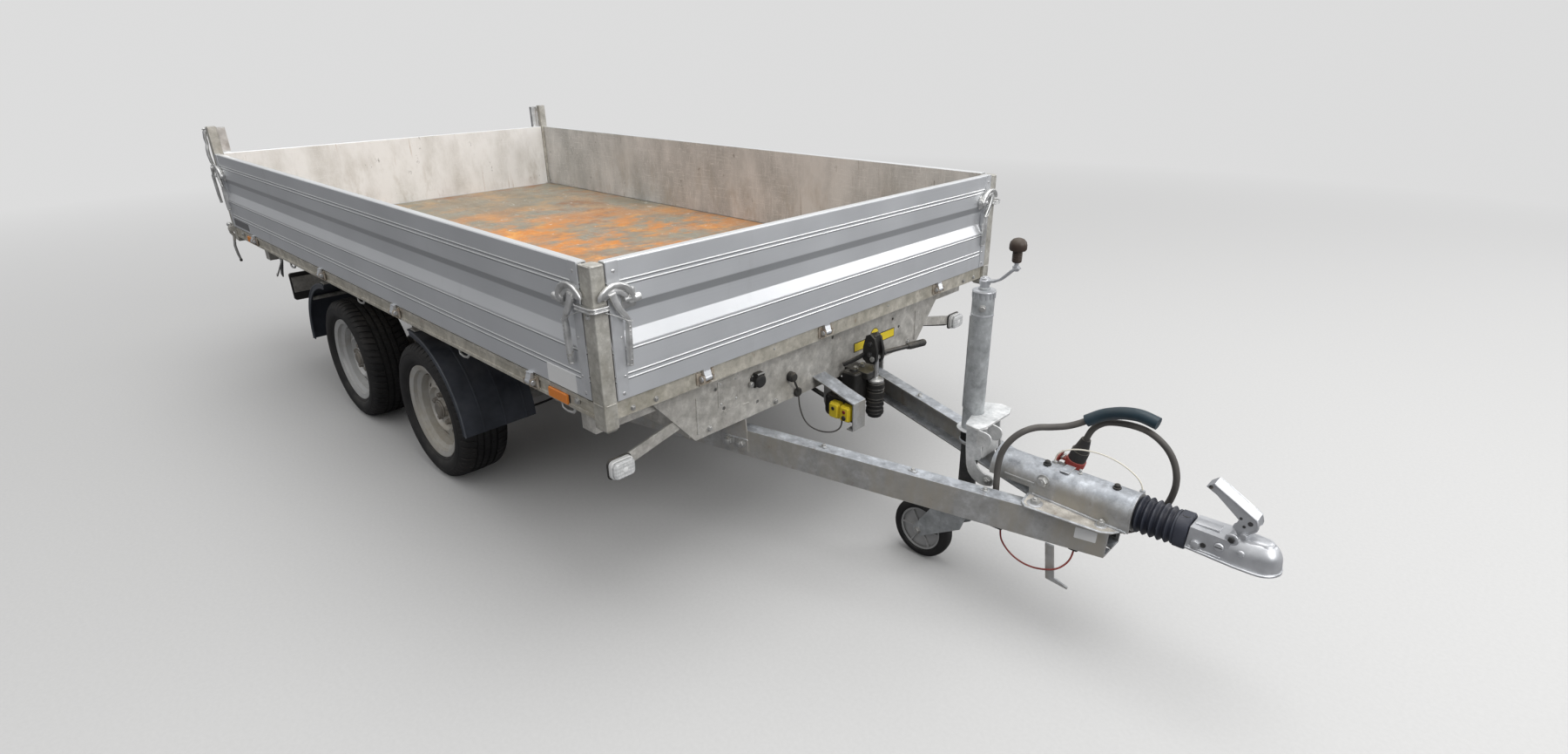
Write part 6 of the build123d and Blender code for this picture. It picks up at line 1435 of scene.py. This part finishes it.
def build_jack():
    fixed = Shape()
    # Collars, the cap's notches, a screw on the tube, and the bracket's bolts
    fixed.turned([(0, 30.1), (0, 33.4), (7, 33.6), (9, 32), (9, 30.1)], (JACK_X, 0, 455.5), Z, 1, 40)
    fixed.turned([(0, 30.05), (0.4, 31.3), (5, 31.3), (5.4, 30.05)], (JACK_X, 0, 842), Z, 0, 40)
    for angle in around(16):
        notch = spoke(angle, X, Y)
        ends = [Vector((JACK_X, 0, 893)) + notch * 30.4, Vector((JACK_X, 0, 911)) + notch * 30.6]
        fixed.sweep(box(6, 2.4, 0.8, 1), ends, notch)
    fixed.turned([(0, 31.8), (2, 32.6), (4, 31.8), (6, 24), (7, 17)], (JACK_X, 0, 908), Z, 0, 40)
    fixed.bolt((1484, -26, 868), (0.46, -0.89, 0), 13, 6, 2)
    fixed.bolt((JACK_X, 29.8, 868), Y, 13, 6, 2)
    for side in (-1, 1):
        fixed.bolt((1566, side * 57.4, 386), (0, side, 0), 19, 9, 2, stud=4, turn=0.4)
    fixed.sweep(box(5, 3, 1, 1), [(1439.4, -8, 560), (1439.4, -8, 836)], BACK)
    build_bracket()
    piece("jack_collars_and_bolts", fixed, "trailer", [BRIGHT_ZINC, ZINC_DRAWBAR, DULL_ZINC], smooth=40)

    crank = Shape()
    # Hub under a dished cap, flat bar bent up to the pin, stem and knob
    crank.turned([(0, 13), (6, 13), (7, 15), (18, 15), (20, 13), (25, 12.5), (26, 9)], (JACK_X, 0, 921), Z, 0, 28)
    bar = [(1462, 936), (1480, 938), (1500, 942), (1516, 950), (1532, 965), (1545, 978), (1556, 986), (1566, 988)]
    crank.sweep(box(20, 7, 2.5, 2), [(x, 0, z) for x, z in bar], Z, 0, (0.9, 1.05, 1, 0.95, 0.95, 0.95, 1, 0.7))
    crank.bolt((JACK_X, 0, 941), Z, 15, 7, 0)
    knob = [(14, 9), (16, 12), (40, 11.5), (44, 12.5), (46, 20), (50, 22.4), (60, 22.4), (68, 20.5), (75, 14), (78, 6),
            (78.4, 0)]
    pin = (1555, 0, 988)
    crank.turned([(-8, 8), (-6, 9), (4, 9), (5, 6), (18, 6)], pin, Z, 0, 18)
    crank.turned(knob, pin, Z, 1, 32)
    for low in range(18, 43, 5):
        crank.turned([(low, 12), (low + 1, 12.8), (low + 3, 12.8), (low + 4, 12)], pin, Z, 1)
    piece("jack_crank_parts", crank, "trailer", [BRIGHT_ZINC, KNOB_BROWN], smooth=40, replaced="jack_crank")

    wheel = Shape()
    place = Vector(JACK_WHEEL)
    half = [(0, 100), (7, 99.9), (14, 98.6), (19, 95.5), (22.5, 90), (24.6, 84), (25, 78), (23.6, 75), (20, 73.8)]
    tyre = [(-a, r) for a, r in reversed(half[1:])] + half + [(18, 70), (-18, 70)]
    for finish, steps, section in (
        (0, 48, tyre),
        (1, 48, [(-19, 74), (-15, 74), (-15, 66), (-19, 66)]),
        (1, 48, [(15, 74), (19, 74), (19, 66), (15, 66)]),
        (1, 48, [(-9, 74), (9, 74), (9, 12), (-9, 12)]),
        (1, 32, [(-27, 20), (27, 20), (27, 8.3), (-27, 8.3)]),
    ):
        wheel.hoop([(-a, r) for a, r in section], place, (X, Z), finish, steps)
    for angle in around(6):
        wheel.sweep([(-2.4, -17), (2.4, -17), (2.4, 17), (-2.4, 17)],
                    [place + spoke(angle) * 18, place + spoke(angle) * 68], Y, 1)
    piece("jack_wheel_parts", wheel, "jack_roller", [TYRE, LAMP_BODY], smooth=40, replaced="jack_wheel")
    pins = Shape()
    for side in (-1, 1):
        pins.bolt((1330, side * 33, 100), (0, side, 0), 17, 7, 0, turn=0.4)
        pins.weld((1400, side * 33.2, 216), (1480, side * 33.2, 216), 2.4, 0)
    piece("jack_fork_bolts", pins, "jack_swivel", [DULL_ZINC])


def build_guards():
    """Rolled lip, crease lines and bolts of the mudguards; hanging bar under the rail."""
    lips = Shape()
    for side in (-1, 1):
        for middle, sense in ((-330, 1), (-1200, -1)):
            def rim(angle, radius, y):
                return (middle + sense * radius * math.cos(angle), side * y, HUB_HEIGHT + radius * math.sin(angle))

            bend = [math.radians(2 + 4 * n) for n in range(23)]
            # Outer rolled lip in the paler plastic, as a painted highlight
            lips.sweep(circle(2.6), [rim(a, 331.5, 852.4) for a in bend], Y, 1)
            lips.sweep(circle(2), [rim(a, 312.5, 852.2) for a in bend], Y)
            for y in (618, 700, 782):
                lips.sweep(box(9, 2.6, 1.2, 2), [rim(a, 333.6, y) for a in bend], (math.cos(0.8), 0, math.sin(0.8)))
            for angle in (math.radians(62), math.radians(84)):
                for y in (606, 640):
                    lips.bolt(rim(angle, 333.2, y), (sense * math.cos(angle), 0, math.sin(angle)), 13, 5, 2)
    piece("mudguard_lips_and_bolts", lips, "trailer", [GUARD, GUARD_LIP_HIGHLIGHT, DULL_ZINC], smooth=40)

    prop = Shape()
    bar = [(-1552, 893, 672), (-1574, 893, 640), (-1600, 893, 606), (-1618, 893, 576)]
    rod = [(-1540, 896, 664), (-1570, 898, 640), (-1640, 898, 590), (-1688, 897, 560), (-1694, 894, 570)]
    for side in (-1, 1):
        out = (0, side, 0)
        prop.sweep(box(26, 5, 1.5, 1), flip(side, bar), out)
        prop.sweep(circle(3.5), flip(side, rod), out, 1)
        prop.bolt((-1556, side * 895.4, 666), out, 13, 5, 1)
    piece("hanging_props", prop, "bed", [BLACK_STEEL, DULL_ZINC])


def build_running_gear():
    """Bolts and plugs on the backing plates, and the brake cables."""
    gear = Shape()
    for side in (-1, 1):
        inward = (0, -side, 0)
        for x in AXLES.values():
            for n in range(4):
                place = Vector((x, side * 635, HUB_HEIGHT)) + spoke(math.radians(45 + 90 * n)) * 62
                gear.bolt(place, inward, 15, 7, 0, stud=4)
            for dx in (-20, 20):
                gear.turned([(0, 12), (3, 12), (4, 8)], (x + dx, side * 634.8, HUB_HEIGHT + 92), inward, 2, 16)
            cable = ((8, 632, -84), (30, 560, -92), (110, 420, -60), (200, 220, 10), (300, 60, 40))
            path = [(x + dx, side * y, HUB_HEIGHT + dz) for dx, y, dz in cable]
            gear.sweep(circle(4.5), eased(path), (0, 0.2, 1), 1)
    piece("brake_cables_and_bolts", gear, "trailer", [DULL_ZINC, BLACK_RUBBER, BLACK_PLASTIC])


for build in (build_wheels, build_boards, build_posts, build_rails, build_front_plate, build_pump, build_control,
              build_lamps, build_drawbar, build_housing, build_bellows, build_coupling, build_parking_socket,
              build_jack, build_guards, build_running_gear):
    build()
